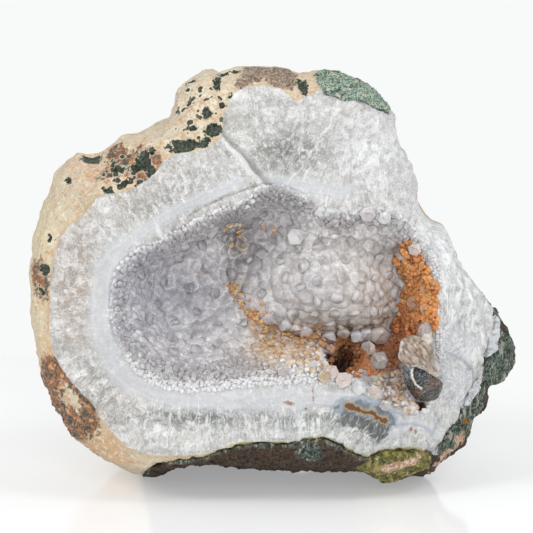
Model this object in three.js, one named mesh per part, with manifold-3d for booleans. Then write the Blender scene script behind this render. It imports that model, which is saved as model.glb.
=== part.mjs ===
// A zeolite-bearing quartz geode: one broken half of a nodule, standing on its rough underside.
// Millimetres, +Z up, the open side faces -Y, and the ground under the middle of the stone is the origin.
//
// The stone is lofted as rings about one axis that runs front to back through the middle of its hollow:
// hollow floor, hollow lip, broken face, outer skin, and round the back. Host rock is then parted from it.
import * as THREE from "three";
import { mergeVertices } from "three/addons/utils/BufferGeometryUtils.js";
import { ConvexGeometry } from "three/addons/geometries/ConvexGeometry.js";
import { ImprovedNoise } from "three/addons/math/ImprovedNoise.js";
import Module from "manifold-3d";

const wasm = await Module();
wasm.setup();
const { clamp, lerp, smoothstep, degToRad } = THREE.MathUtils;

// Driving dimensions
const FRONT = -34; // the most forward part of the broken face, under the hollow
const BACK = 38; // the rearmost part of the stone
const AXIS_X = -1; // the axis of the rings
const AXIS_Z = 57;
const FIT_GAP = 0.35; // space between pieces that touch
const FAR = 90; // reach of the cutting solids

// Outlines seen from the front, as [x, z], anticlockwise from the right.
const SILHOUETTE = [
  [71, 36], [69, 42], [62.5, 52], [54, 63], [50, 72], [41, 79], [40, 91], [35, 100], [35, 106],
  [32, 110], [27, 115], [19, 118], [13, 118], [7, 117], [3, 119.5], [-9, 120], [-15, 118], [-19, 119],
  [-24, 116], [-28, 112.5], [-28, 108], [-31, 104], [-38, 101.5], [-45, 99.5], [-50, 95], [-57, 95],
  [-61, 92], [-64.5, 87], [-66, 81], [-69.5, 72], [-71, 62], [-70.5, 53], [-69.5, 41], [-68, 29],
  [-65, 21], [-60, 12], [-51, 4.5], [-41, -1], [-34, -0.5], [-25, 4.5], [-10, 3], [8, 3], [26, 3],
  [33, -1.5], [46, 3], [52, 8], [57, 11], [60, 18], [64, 21], [64, 27], [69, 29],
];
const FACE_EDGE = [
  [61, 34], [64, 41], [66, 46], [60, 54], [52, 64], [48, 73], [39, 81], [38, 92], [33, 101],
  [33, 106], [32, 109], [28, 109], [25, 112], [20, 111], [17, 108], [10, 106], [6, 111], [1, 115],
  [-10, 114.5], [-14, 108], [-14, 101], [-20, 97.5], [-29, 96.5], [-34, 90], [-41, 86], [-49, 85],
  [-52, 80], [-59, 75], [-62, 67], [-63, 58], [-63, 43], [-59, 35], [-53, 29], [-47, 21], [-40, 15],
  [-31, 14], [-19, 14.5], [-9, 18], [5, 18], [16, 18.5], [25, 14], [32, 14], [39, 15], [47, 10.5],
  [51, 17], [56, 22], [60, 28],
];
const HOLLOW_LIP = [
  [46, 45], [47, 52], [47, 60], [42, 72], [36, 78], [30, 81], [20, 79.5], [12, 82], [7, 85.5],
  [-2, 88.5], [-9, 83], [-20, 79], [-31, 73.5], [-41, 68], [-44.5, 62], [-45, 53], [-43.5, 46],
  [-38.5, 40], [-31, 35], [-20, 34], [-6, 35.5], [7, 37], [20, 36], [27, 30], [34, 25.5], [42, 23],
  [48, 29], [47.5, 38],
];

// Where the host rock meets the agate along the front, as [x, z].
const HOST_ROCK_LINE = [
  [-37, -2], [-33, 11], [-19, 13.5], [-9, 17], [5, 17], [12, 19], [17, 17.5], [25, 13], [38, 14],
  [47, 9.5], [51, 16], [56, 22], [60, 32], [64, 41], [66, 46], [70, 50],
];
// Where the green crust on the top right corner meets the quartz along the front, as [x, z].
const GREEN_CRUST_LINE = [
  [8, 122], [13, 113], [20, 111], [26, 111.5], [29, 108.5], [34, 107.5], [40, 107],
];
// The part of the hollow that is lined with orange zeolite: the right wall and the cave under the boss.
const ZEOLITE_AREA = [
  [36, 72], [41, 75], [46, 67], [51, 58], [50, 44], [40, 38], [36, 33], [31, 33], [26, 38.5],
  [19, 40.5], [7, 41.5], [-3, 44], [-7, 51], [-11, 60], [-7, 61], [-2, 53], [4, 49],
  [12, 48], [22, 46.5], [29, 47.5], [34, 53], [35, 62],
];

const noise = new ImprovedNoise();
const rough = (x, y, z, size) => noise.noise(x / size + 7.3, y / size + 2.1, z / size + 4.7);
const hill = (x, z, cx, cz, rx, rz) => Math.exp(-(((x - cx) / rx) ** 2) - ((z - cz) / rz) ** 2);

// The z of a line of points at x, straight between them.
function alongLine(line, x) {
  if (x <= line[0][0]) return line[0][1];
  const next = line.findIndex(([px]) => px > x);
  if (next < 0) return line.at(-1)[1];
  const [[x0, z0], [x1, z1]] = [line[next - 1], line[next]];
  return lerp(z0, z1, (x - x0) / (x1 - x0));
}

// An outline as [angle round the axis, distance from the axis], in order of the angle.
function polarOf(outline) {
  return outline
    .map(([x, z]) => [Math.atan2(z - AXIS_Z, x - AXIS_X), Math.hypot(x - AXIS_X, z - AXIS_Z)])
    .sort((a, b) => a[0] - b[0]);
}

// Makes [angle round the axis, value] pairs into a function of any angle, straight in between.
function around(pairs) {
  const turn = 2 * Math.PI;
  const [first, last] = [pairs[0], pairs.at(-1)];
  const wrapped = [[last[0] - turn, last[1]], ...pairs, [first[0] + turn, first[1]]];
  return (angle) => alongLine(wrapped, angle);
}

// Every ring has one point for each point of the silhouette, and the edges run straight between those.
const COLUMN_ANGLES = polarOf(SILHOUETTE).map(([angle]) => angle);
const COLUMNS = COLUMN_ANGLES.length;
function edgeOf(outline) {
  const exact = around(polarOf(outline));
  return around(COLUMN_ANGLES.map((angle) => [angle, exact(angle)]));
}
const silhouetteAt = edgeOf(SILHOUETTE);
const faceEdgeAt = edgeOf(FACE_EDGE);
const lipAt = edgeOf(HOLLOW_LIP);

// The broken face leans back as it rises and falls away at both sides. A slab on the upper left
// stands proud of the quartz to its right, along a ledge that runs down to the top of the hollow.
const LEDGE = { x: -14, z: 101, right: 0.735, up: 0.678, step: 5, rise: 7, reach: 34 };
function faceDepth(x, z) {
  const past = (x - LEDGE.x) * LEDGE.right + (z - LEDGE.z) * LEDGE.up;
  const recess = smoothstep(past, 0, LEDGE.rise) * (1 - smoothstep(past, LEDGE.reach / 2, LEDGE.reach));
  const aboveHollow = smoothstep(z, 78, 88);
  return (
    FRONT +
    Math.max(z - 20, 0) * 0.2 +
    Math.max(x - 22, 0) * 0.55 +
    Math.max(-35 - x, 0) * 0.3 +
    LEDGE.step * recess * aboveHollow +
    1.8 * rough(x, 0, z, 12)
  );
}

// How far the floor of the hollow lies behind the broken face: a bowl on the left, a crystal-covered
// boss on the right, a cleft between them, a cave under the boss and a trench along the right wall.
function hollowDepth(x, z, share) {
  const floor =
    21 +
    4 * hill(x, z, -26, 56, 14, 14) -
    16 * hill(x, z, 16, 61, 16, 14) +
    5 * hill(x, z, -8, 70, 5, 12);
  const wall = 1 - smoothstep(share, 0.66, 1) ** 1.3;
  const cave = 12 * hill(x, z, 19, 44, 16, 4.5) + 7 * hill(x, z, 41, 47, 6, 20);
  const shelf = 0.45 * hill(x, z, -14, 36, 30, 7);
  const inside = 1 - smoothstep(share, 0.74, 1);
  return floor * wall * (1 - shelf) + cave * inside + 1.2 * inside * rough(x, 9, z, 6);
}

const onRing = (angle, radius) => [AXIS_X + radius * Math.cos(angle), AXIS_Z + radius * Math.sin(angle)];
const HOLLOW_SHARES = [0.16, 0.32, 0.47, 0.6, 0.71, 0.8, 0.88, 0.94, 1];
const FACE_SHARES = [0.16, 0.34, 0.52, 0.7, 0.86, 1];
const SKIN_SHARES = [0.35, 0.7, 1];
const BACK_TURNS = [15, 31, 47, 61, 74, 84].map(degToRad);

function hollowPoint(angle, share) {
  const [x, z] = onRing(angle, lipAt(angle) * share);
  return new THREE.Vector3(x, faceDepth(x, z) + hollowDepth(x, z, share), z);
}

function facePoint(angle, share) {
  const [x, z] = onRing(angle, lerp(lipAt(angle), faceEdgeAt(angle), share));
  return new THREE.Vector3(x, faceDepth(x, z) + (share < 1 ? 1.2 * rough(x, 3, z, 7) : 0), z);
}

// How much a direction belongs to the underside: 0 at the sides and 1 straight down.
const underside = (angle) => smoothstep(-Math.sin(angle), 0.45, 0.85);

// The depth at which the stone is widest. Underneath it runs from the right foot back to the left one.
const girthDepth = (angle, x) => lerp(4, -1.5 - 0.38 * x, underside(angle));

function skinPoint(angle, share) {
  const edge = facePoint(angle, 1);
  const turn = (share * Math.PI) / 2;
  const [x, z] = onRing(angle, lerp(faceEdgeAt(angle), silhouetteAt(angle), Math.sin(turn)));
  const y = lerp(edge.y, girthDepth(angle, x), 1 - Math.cos(turn));
  return new THREE.Vector3(x, y + (share < 1 ? 0.8 * rough(x, y, z, 8) : 0), z);
}

// The silhouette with its notches evened out, for the back.
function evenRadius(angle) {
  const turns = Array.from({ length: 21 }, (_, i) => angle + degToRad(4 * (i - 10)));
  const radii = turns.map((turn) => silhouetteAt(Math.atan2(Math.sin(turn), Math.cos(turn))));
  return radii.reduce((sum, radius) => sum + radius) / radii.length;
}

// The back is round at the top and sides and square underneath, so that the stone stands.
function backPoint(angle, turn) {
  const squareness = lerp(0.85, 0.24, underside(angle));
  const evened = smoothstep(turn, 0, 0.8) * (1 - 0.7 * underside(angle));
  const radius = lerp(silhouetteAt(angle), evenRadius(angle), evened) * Math.cos(turn) ** squareness;
  const [x, z] = onRing(angle, radius);
  const girth = girthDepth(angle, x);
  const y = lerp(girth, BACK - 2.5, Math.sin(turn));
  const lump = 7 * rough(x, y, z, 23) + 3 * rough(x, y, z, 11) * Math.cos(turn);
  const out = new THREE.Vector3(x - AXIS_X, 1.4 * (y - girth), z - AXIS_Z).normalize();
  return new THREE.Vector3(x, y, z).addScaledVector(out, lump);
}

// A solid from rings of points, closed at each end by one point. The rings run from front to back;
// with flip set they run from back to front, and their squares are still halved the same way.
function loftRings(first, rings, last, flip = false) {
  const points = [first, ...rings.flat(), last];
  const index = [];
  const at = (ring, column) => 1 + ring * COLUMNS + (column % COLUMNS);
  for (let column = 0; column < COLUMNS; column++) {
    index.push(0, at(0, column), at(0, column + 1));
    for (let ring = 0; ring + 1 < rings.length; ring++) {
      const [a, b] = [at(ring, column), at(ring, column + 1)];
      const [c, d] = [at(ring + 1, column), at(ring + 1, column + 1)];
      index.push(a, c, b, b, c, d);
    }
    index.push(points.length - 1, at(rings.length - 1, column + 1), at(rings.length - 1, column));
  }
  if (flip) index.reverse();
  return new THREE.BufferGeometry().setFromPoints(points).setIndex(index);
}

const ring = (pointAt, share) => COLUMN_ANGLES.map((angle) => pointAt(angle, share));

// Joins and cuts
function solidOf(geometry) {
  const bare = geometry.clone();
  for (const name of ["normal", "uv"]) bare.deleteAttribute(name);
  const merged = mergeVertices(bare, 1e-4);
  const solid = new wasm.Manifold(
    new wasm.Mesh({
      numProp: 3,
      vertProperties: new Float32Array(merged.attributes.position.array),
      triVerts: new Uint32Array(merged.index.array),
    }),
  );
  if (solid.volume() >= 0) return solid;
  throw new Error("a solid is inside out");
}
const largest = (solid) =>
  solid.decompose().reduce((best, body) => (body.volume() > best.volume() ? body : best));

function geometryOf(solid) {
  const { vertProperties, triVerts } = solid.getMesh();
  const geometry = new THREE.BufferGeometry();
  geometry.setAttribute("position", new THREE.BufferAttribute(vertProperties, 3));
  geometry.setIndex(new THREE.BufferAttribute(triVerts, 1));
  const flat = geometry.toNonIndexed();
  flat.computeVertexNormals();
  return flat;
}

// The whole stone: four feet press its underside down, and the ground plane cuts them flat.
const FEET = [
  { x: 33, y: -13, reach: 9, drop: 2 },
  { x: -37, y: 12, reach: 9, drop: 2 },
  { x: 26, y: 25, reach: 10, drop: 9 },
  { x: -22, y: 27, reach: 10, drop: 9 },
];
const SOLE = -1.2; // the feet reach this far under the ground plane before the cut

function settle(point) {
  if (point.z > 22) return point;
  const drop = FEET.reduce((sum, foot) => {
    const near = Math.exp(-(((point.x - foot.x) / foot.reach) ** 2) - ((point.y - foot.y) / foot.reach) ** 2);
    return Math.max(sum, foot.drop * near);
  }, 0);
  point.z = Math.max(point.z - drop, SOLE);
  return point;
}

function box(low, high) {
  const size = new THREE.Vector3().subVectors(high, low);
  const middle = new THREE.Vector3().addVectors(low, high).multiplyScalar(0.5);
  return solidOf(new THREE.BoxGeometry(size.x, size.y, size.z).translate(middle.x, middle.y, middle.z));
}

function wholeStone() {
  const rings = [
    ...HOLLOW_SHARES.map((share) => ring(hollowPoint, share)),
    ...FACE_SHARES.map((share) => ring(facePoint, share)),
    ...SKIN_SHARES.map((share) => ring(skinPoint, share)),
    ...BACK_TURNS.map((turn) => ring(backPoint, turn)),
  ].map((points) => points.map(settle));
  const rear = new THREE.Vector3(AXIS_X, BACK - 1.5, AXIS_Z);
  const stone = solidOf(loftRings(hollowPoint(0, 0), rings, rear));
  const aboveGround = box(new THREE.Vector3(-FAR, -FAR, 0), new THREE.Vector3(FAR, FAR, 2 * FAR));
  return stone.intersect(aboveGround);
}

// Everything in front of the hollow and of the face round its lip, held off by a small gap.
function spaceInFront(gap) {
  const shares = [
    ...HOLLOW_SHARES.map((share) => ring(hollowPoint, share)),
    ...FACE_SHARES.slice(0, 2).map((share) => ring(facePoint, share)),
  ];
  const floor = shares.map((points) => points.map((p) => new THREE.Vector3(p.x, p.y - gap, p.z)));
  const middle = hollowPoint(0, 0);
  const outermost = floor.at(-1).map((p) => new THREE.Vector3(p.x, -FAR, p.z));
  const front = new THREE.Vector3(middle.x, -FAR, middle.z);
  const back = new THREE.Vector3(middle.x, middle.y - gap, middle.z);
  return solidOf(loftRings(back, [...floor, outermost], front, true));
}

// A solid whose top or bottom is a wavy sheet over the ground: z = heightAt(x, y).
function sheetSolid(heightAt, far, step = 5) {
  const steps = Math.round((2 * FAR) / step);
  const slab = new THREE.BoxGeometry(2 * FAR, 2 * FAR, 1, steps, steps, 1);
  const position = slab.attributes.position;
  for (let i = 0; i < position.count; i++) {
    const [x, y] = [position.getX(i), position.getY(i)];
    const wavy = (far < 0) === (position.getZ(i) > 0);
    position.setZ(i, wavy ? heightAt(x, y) : far);
  }
  return solidOf(slab);
}

// Host rock fills the underside and climbs the lower back and the right side.
const hostRockTop = (gap) => (x, y) => {
  const start = lerp(13, -14, smoothstep(x, -40, 55));
  const climb = 40 * smoothstep(y, start, start + 42);
  return alongLine(HOST_ROCK_LINE, x) + climb + 0.8 * rough(x, y, 0, 6) + gap;
};
// The green crust is a chip of weathered host rock left on the top right corner.
const greenCrustBottom = (gap) => (x, y) =>
  alongLine(GREEN_CRUST_LINE, x) + 7 * smoothstep(y, -4, 22) + 0.6 * rough(x, y, 5, 5) - gap;

// How far out a point lies between the axis, 0, and the lip of the hollow, 1.
const lipShare = (x, z) => Math.hypot(x - AXIS_X, z - AXIS_Z) / lipAt(Math.atan2(z - AXIS_Z, x - AXIS_X));

const wobble = (seed) => noise.noise(seed * 0.917 + 0.31, seed * 0.383 + 5.7, seed * 0.171 + 9.2);

// The depth of each ring of the hollow, as a function of the angle.
const HOLLOW_RING_DEPTHS = [0, ...HOLLOW_SHARES].map((share) => [
  share,
  around(COLUMN_ANGLES.map((angle) => [angle, hollowPoint(angle, share).y])),
]);

// A point of the hollow's faceted surface at x and z, moved towards the open side by lift.
function hollowSurface(x, z, lift) {
  const angle = Math.atan2(z - AXIS_Z, x - AXIS_X);
  const depths = HOLLOW_RING_DEPTHS.map(([share, depthAt]) => [share, depthAt(angle)]);
  return new THREE.Vector3(x, alongLine(depths, lipShare(x, z)) - lift, z);
}

function hollowNormal(x, z) {
  const middle = hollowSurface(x, z, 0);
  const right = hollowSurface(x + 1, z, 0).sub(middle);
  const up = hollowSurface(x, z + 1, 0).sub(middle);
  return right.cross(up).normalize();
}

// A crust of crystals side by side: shared, uneven six-sided roots, each drawn up to one point.
// pitch is the size of a crystal, rise(x, z, seed) how far its point stands out, and keep(x, z) where it grows.
const CRUST_BACK = 1.1;
const CRUST_FRONT = 2.5;
function crystalCrust(pitch, rise, keep) {
  const points = [];
  const index = [];
  const corners = new Map();
  const edges = new Map();
  const add = (point) => points.push(point) - 1;
  function cornerAt(x, z) {
    const key = Math.round(x * 10) + "," + Math.round(z * 10);
    if (!corners.has(key)) {
      const [cx, cz] = [x + 0.22 * pitch * wobble(x * 3.1 + z), z + 0.22 * pitch * wobble(z * 2.7 - x)];
      const [front, back] = [CRUST_FRONT, CRUST_BACK].map((lift) => add(hollowSurface(cx, cz, lift)));
      corners.set(key, { front, back });
    }
    return corners.get(key);
  }
  const side = pitch / Math.sqrt(3);
  const reach = Math.ceil(60 / pitch);
  for (let row = -reach; row <= reach; row++) {
    for (let column = -reach; column <= reach; column++) {
      const x = AXIS_X + pitch * (column + (row % 2 ? 0.5 : 0));
      const z = AXIS_Z + side * 1.5 * row;
      if (!keep(x, z)) continue;
      const seed = row * 37 + column * 11;
      const normal = hollowNormal(x, z);
      const height = rise(x, z, seed) * Math.max(0.55, -normal.y);
      normal.add(new THREE.Vector3(0.35 * wobble(seed), -0.5, 0.35 * wobble(seed + 5))).normalize();
      const peak = hollowSurface(x, z, CRUST_FRONT).addScaledVector(normal, height);
      const [front, back] = [add(peak), add(hollowSurface(x, z, CRUST_BACK))];
      const round = [30, 90, 150, 210, 270, 330]
        .map(degToRad)
        .map((angle) => cornerAt(x + side * Math.cos(angle), z + side * Math.sin(angle)));
      round.forEach((corner, i) => {
        const next = round[(i + 1) % round.length];
        index.push(front, corner.front, next.front, back, next.back, corner.back);
        const [here, there] = [corner.front + ">" + next.front, next.front + ">" + corner.front];
        if (edges.has(there)) edges.delete(there);
        else edges.set(here, [corner, next]);
      });
    }
  }
  for (const [corner, next] of edges.values())
    index.push(corner.front, corner.back, next.back, corner.front, next.back, next.front);
  return solidOf(new THREE.BufferGeometry().setFromPoints(points).setIndex(index));
}

function prismOf(area, grow) {
  const shape = new THREE.Shape(area.map(([x, z]) => new THREE.Vector2(x, z)));
  const bevelled = new THREE.ExtrudeGeometry(shape, {
    depth: 2 * FAR,
    bevelEnabled: grow > 0,
    bevelSize: grow,
    bevelThickness: grow,
    bevelSegments: 1,
  });
  return solidOf(bevelled.translate(0, 0, -FAR).rotateX(Math.PI / 2));
}

function insideArea(area, x, z) {
  return area.reduce((inside, [x1, z1], i) => {
    const [x0, z0] = area.at(i - 1);
    const crosses = z1 > z !== z0 > z && x < ((x0 - x1) * (z - z1)) / (z0 - z1) + x1;
    return crosses ? !inside : inside;
  }, false);
}

const clearSpace = spaceInFront(FIT_GAP);
const lipArea = prismOf(COLUMN_ANGLES.map((angle) => onRing(angle, lipAt(angle))), 0);
const zeoliteArea = prismOf(ZEOLITE_AREA, 0);
const zeoliteAreaGrown = prismOf(ZEOLITE_AREA, FIT_GAP);

// Two intergrown calcite crystals fill the lower right corner of the hollow: a dark, flat one with a
// six-sided front, and a paler blunt one above it. Each is drawn back to a narrower root in the wall.
const CALCITE_FRONTS = [
  { outline: [[49.6, 35], [47, 39.4], [41.6, 39.6], [38, 35.4], [39.2, 29.6], [42, 26.4], [48, 28.8]], out: 1.6, lean: 0.28 },
  { outline: [[46.5, 41.5], [45.4, 47.6], [41.4, 48.4], [37, 45], [36.4, 39.4], [41, 36.8], [46, 37.6]], out: -1.2, lean: -0.2 },
];
const CALCITE_ROOT = { depth: 13, narrow: 0.72 };
function calciteCrystals(gap) {
  const crystals = CALCITE_FRONTS.map(({ outline, out, lean }) => {
    const middle = [0, 1].map((axis) => outline.reduce((sum, point) => sum + point[axis], 0) / outline.length);
    const front = faceDepth(...middle) - out;
    const points = outline.flatMap(([x, z]) => {
      const [dx, dz] = [x - middle[0], z - middle[1]];
      const grown = 1 + gap / Math.hypot(dx, dz);
      const pushed = (share, y) =>
        new THREE.Vector3(middle[0] + dx * share * grown, y, middle[1] + dz * share * grown);
      return [
        pushed(0.62, front - 1.5 + lean * dx - gap),
        pushed(1, front + 1 + lean * dx),
        pushed(CALCITE_ROOT.narrow, front + CALCITE_ROOT.depth + gap),
      ];
    });
    return solidOf(new ConvexGeometry(points));
  });
  return crystals[0].add(crystals[1]).intersect(clearSpace);
}

// The druse: quartz points over the whole hollow, largest on the boss.
function quartzDruse() {
  const rise = (x, z, seed) => lerp(2, 3.4, hill(x, z, 16, 60, 20, 18)) * (1 + 0.5 * wobble(seed));
  const crust = crystalCrust(6.3, rise, (x, z) => lipShare(x, z) < 1.05);
  return crust.intersect(clearSpace).intersect(lipArea).subtract(zeoliteAreaGrown).subtract(calciteCrystals(FIT_GAP));
}

// The zeolite: a sugary crust of small orange blocks.
function orangeZeolite() {
  const rise = (x, z, seed) => 1.9 + 1.4 * wobble(seed + 2);
  const near = (x, z) => [-3, 3].some((by) => insideArea(ZEOLITE_AREA, x + by, z) || insideArea(ZEOLITE_AREA, x, z + by));
  const crust = crystalCrust(4.4, rise, (x, z) => lipShare(x, z) < 1 && near(x, z));
  return crust.intersect(clearSpace).intersect(zeoliteArea).intersect(lipArea).subtract(calciteCrystals(FIT_GAP));
}

const stone = wholeStone();
const wall = stone.subtract(sheetSolid(hostRockTop(FIT_GAP), -FAR)).subtract(sheetSolid(greenCrustBottom(FIT_GAP), 2 * FAR));

const rock = (colour, roughness) => new THREE.MeshStandardMaterial({ color: colour, roughness, metalness: 0 });
const SUBPARTS = {
  geode_wall: [wall, rock(0xdcdcd8, 0.55)],
  basalt_matrix: [stone.intersect(sheetSolid(hostRockTop(0), -FAR)), rock(0x4f4640, 0.9)],
  green_basalt_crust: [stone.intersect(sheetSolid(greenCrustBottom(0), 2 * FAR)), rock(0x5b8574, 0.85)],
  quartz_druse: [quartzDruse(), rock(0xc9c6cf, 0.25)],
  orange_zeolite: [orangeZeolite(), rock(0xc98143, 0.5)],
  calcite_crystals: [calciteCrystals(0), rock(0x5a5654, 0.2)],
};

const group = new THREE.Group();
for (const [name, [solid, material]] of Object.entries(SUBPARTS)) {
  const whole = largest(solidOf(geometryOf(largest(solid))));
  const mesh = new THREE.Mesh(geometryOf(whole), material);
  mesh.name = name;
  group.add(mesh);
}

// The middle of the stone's box goes over the origin.
const bounds = new THREE.Box3().setFromObject(group);
const middle = bounds.getCenter(new THREE.Vector3());
for (const mesh of group.children) mesh.geometry.translate(-middle.x, -middle.y, -bounds.min.z);

export default group;
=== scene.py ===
# A broken geode half with zeolite, standing on a pale shelf: agate and quartz wall, host basalt,
# a hollow lined with quartz points, orange zeolite and two calcite crystals. Places and sizes are in mm
# and are turned into metres where they enter a mesh or a material.
import math
from contextlib import contextmanager
from functools import partial

import bmesh
import bpy
import numpy as np
from mathutils import Matrix, Vector, kdtree, noise


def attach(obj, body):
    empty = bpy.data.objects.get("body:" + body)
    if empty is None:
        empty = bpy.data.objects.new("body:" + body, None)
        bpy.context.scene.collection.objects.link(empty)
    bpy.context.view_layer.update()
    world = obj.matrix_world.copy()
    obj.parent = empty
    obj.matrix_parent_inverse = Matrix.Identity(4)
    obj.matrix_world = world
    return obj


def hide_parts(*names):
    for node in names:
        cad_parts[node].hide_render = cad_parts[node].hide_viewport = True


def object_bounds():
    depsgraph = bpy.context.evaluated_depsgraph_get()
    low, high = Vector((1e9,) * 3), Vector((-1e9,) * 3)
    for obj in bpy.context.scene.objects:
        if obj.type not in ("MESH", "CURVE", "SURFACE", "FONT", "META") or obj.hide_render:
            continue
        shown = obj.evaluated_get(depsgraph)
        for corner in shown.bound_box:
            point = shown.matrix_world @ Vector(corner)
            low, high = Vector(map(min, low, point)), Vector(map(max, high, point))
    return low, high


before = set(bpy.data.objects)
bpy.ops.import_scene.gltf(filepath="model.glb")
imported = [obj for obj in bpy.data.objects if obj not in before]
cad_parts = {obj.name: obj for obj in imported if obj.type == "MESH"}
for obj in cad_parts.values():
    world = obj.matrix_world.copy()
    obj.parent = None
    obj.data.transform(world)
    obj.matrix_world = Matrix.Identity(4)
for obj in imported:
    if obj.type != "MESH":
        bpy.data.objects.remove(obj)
cad_low, cad_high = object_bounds()
scene = bpy.context.scene
scene.view_settings.view_transform = "Standard"
MM = 0.001


# ----------------------------------------------------------------------
# The wall of the geode: a shell of white quartz and bluish agate that grew inwards from a gas bubble
# in lava. It is broken open in front, where its fibres show, and has its waxy, pitted cream skin on the
# outside. It is one solid stone, sunk in the host basalt below.
# ----------------------------------------------------------------------
FACE_EDGE = [
    [63, 34], [69, 41], [73, 48], [66, 58], [58, 68], [54, 77], [45, 86], [43, 95], [39, 103], [37, 109],
    [32, 110], [28, 109], [25, 112], [20, 111], [17, 108], [10, 106], [6, 111], [1, 115], [-10, 114.5],
    [-14, 108], [-14, 101], [-20, 97.5], [-29, 96.5], [-34, 90], [-41, 86], [-49, 85], [-52, 80], [-59, 75],
    [-62, 67], [-63, 58], [-63, 43], [-59, 35], [-53, 29], [-47, 21], [-40, 15], [-31, 14], [-19, 14.5],
    [-9, 18], [5, 18], [16, 18.5], [25, 14], [32, 14], [39, 15], [47, 10.5], [51, 17], [56, 22], [60, 28],
]
HOLLOW_LIP = [
    [46, 45], [47, 52], [47, 60], [42, 72], [36, 78], [30, 81], [20, 79.5], [12, 82], [7, 85.5], [-2, 88.5],
    [-9, 83], [-20, 79], [-31, 73.5], [-41, 68], [-44.5, 62], [-45, 53], [-43.5, 46], [-38.5, 40], [-31, 35],
    [-20, 34], [-6, 35.5], [7, 37], [20, 36], [27, 30], [34, 25.5], [42, 23], [48, 29], [47.5, 38],
]
HOST_ROCK_LINE = [
    [-37, -2], [-33, 11], [-19, 13.5], [-9, 17], [5, 17], [12, 19], [17, 17.5], [25, 13], [38, 14],
    [47.2, 10.4], [50, 17.4], [53.7, 20.9], [58.6, 25.1], [60.1, 28], [60.5, 36.8], [64.7, 38.6],
    [65.3, 45.5], [70, 50],
]
AGATE_BANDS = [  # centre lines of the bluish bands, each with its half width
    ([[7.4, 29.7], [-6.5, 29.4], [-20.3, 30], [-31.4, 31.2], [-39.8, 33.4], [-45, 38.3], [-47.7, 45.3],
      [-48.7, 52], [-48.4, 58.8], [-46.7, 65], [-43, 70.1]], 3.0),
    ([[-43, 70.1], [-37.1, 75], [-30.1, 79.8], [-23.2, 82.9], [-16.2, 85.6], [-9.8, 89]], 1.7),
    ([[-1.5, 89.8], [7.5, 87.7], [15.9, 86.3], [20.7, 85.4]], 1.6),
    ([[7.4, 29.7], [16.8, 30.1], [20.6, 30], [25.4, 28.2], [30.3, 25.4], [34.6, 21.6]], 2.2),
    ([[32, 17.6], [34.6, 20], [39, 21.3], [43.6, 19.8], [47.3, 16.3]], 1.3),
]
# Thin blue-grey lines where the agate's layers end.
AGATE_LINES = [
    [[15.9, 26.8], [17.9, 29.8], [21.2, 30.3], [25.4, 29.4], [29.2, 28.2], [32, 26.2], [34.1, 23.7],
     [34.6, 21]],
    [[34.3, 21.2], [36.1, 21.4], [39, 21], [41.9, 20.3], [44.2, 18.6], [45.5, 17.2], [47.2, 19.6],
     [49.4, 21.8]],
    [[45.5, 52], [44.6, 45], [47, 41], [52, 38.5], [56, 35.5], [58, 31], [57.5, 27], [54, 23.5]],
]
AGATE_EYE = [
    [16, 26.5], [17.9, 29.6], [21.2, 30.1], [25.4, 29.2], [29.2, 28], [32, 26], [34.1, 23.5], [34.6, 20.8],
    [32, 20.8], [29.7, 22.1], [25.7, 23.7], [21.2, 24.4], [17.9, 25.4],
]
AGATE_CRACK = [[-2.6, 88.5], [-7.9, 86.8], [-13.5, 84.8], [-18.2, 82.6], [-23.2, 79.8]]
RUST_STREAK = [[20.6, 28], [22.6, 27.3], [24.9, 26], [27.4, 25.6], [29.1, 24], [31.1, 23.1]]
# In the next lists a mark is an oval: its middle x and z, its half width and half height, and how many
# degrees it is turned anticlockwise. First the clear, dark gaps below the agate's eye.
EYE_SHADE = [[21.2, 23.8, 2.6, 1.7, -5], [25.4, 22.4, 2.6, 1.7, -20], [29.2, 20.2, 2.6, 3.0, 35]]
# Small rust marks in the agate.
AGATE_RUST = [
    [4.4, 28.6, 1.5, 0.5, -15], [9, 27, 0.5, 0.35, 0], [11, 30.3, 0.15, 2.4, 0], [38.4, 19.6, 0.35, 0.8, 5],
    [40.1, 18.9, 0.35, 0.9, -5],
]
# Where the agate grew in round lumps, whose layers show as swirls.
AGATE_LUMPS = [[51, 41, 6, 6.5, 0], [52.5, 30.5, 5, 5.5, 0]]
# Dark holes between the crystals.
CAVE_MOUTH = [[20.4, 37.2, 4.3, 3.0, -15], [41.8, 24.4, 1.8, 1.5, 0]]
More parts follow.
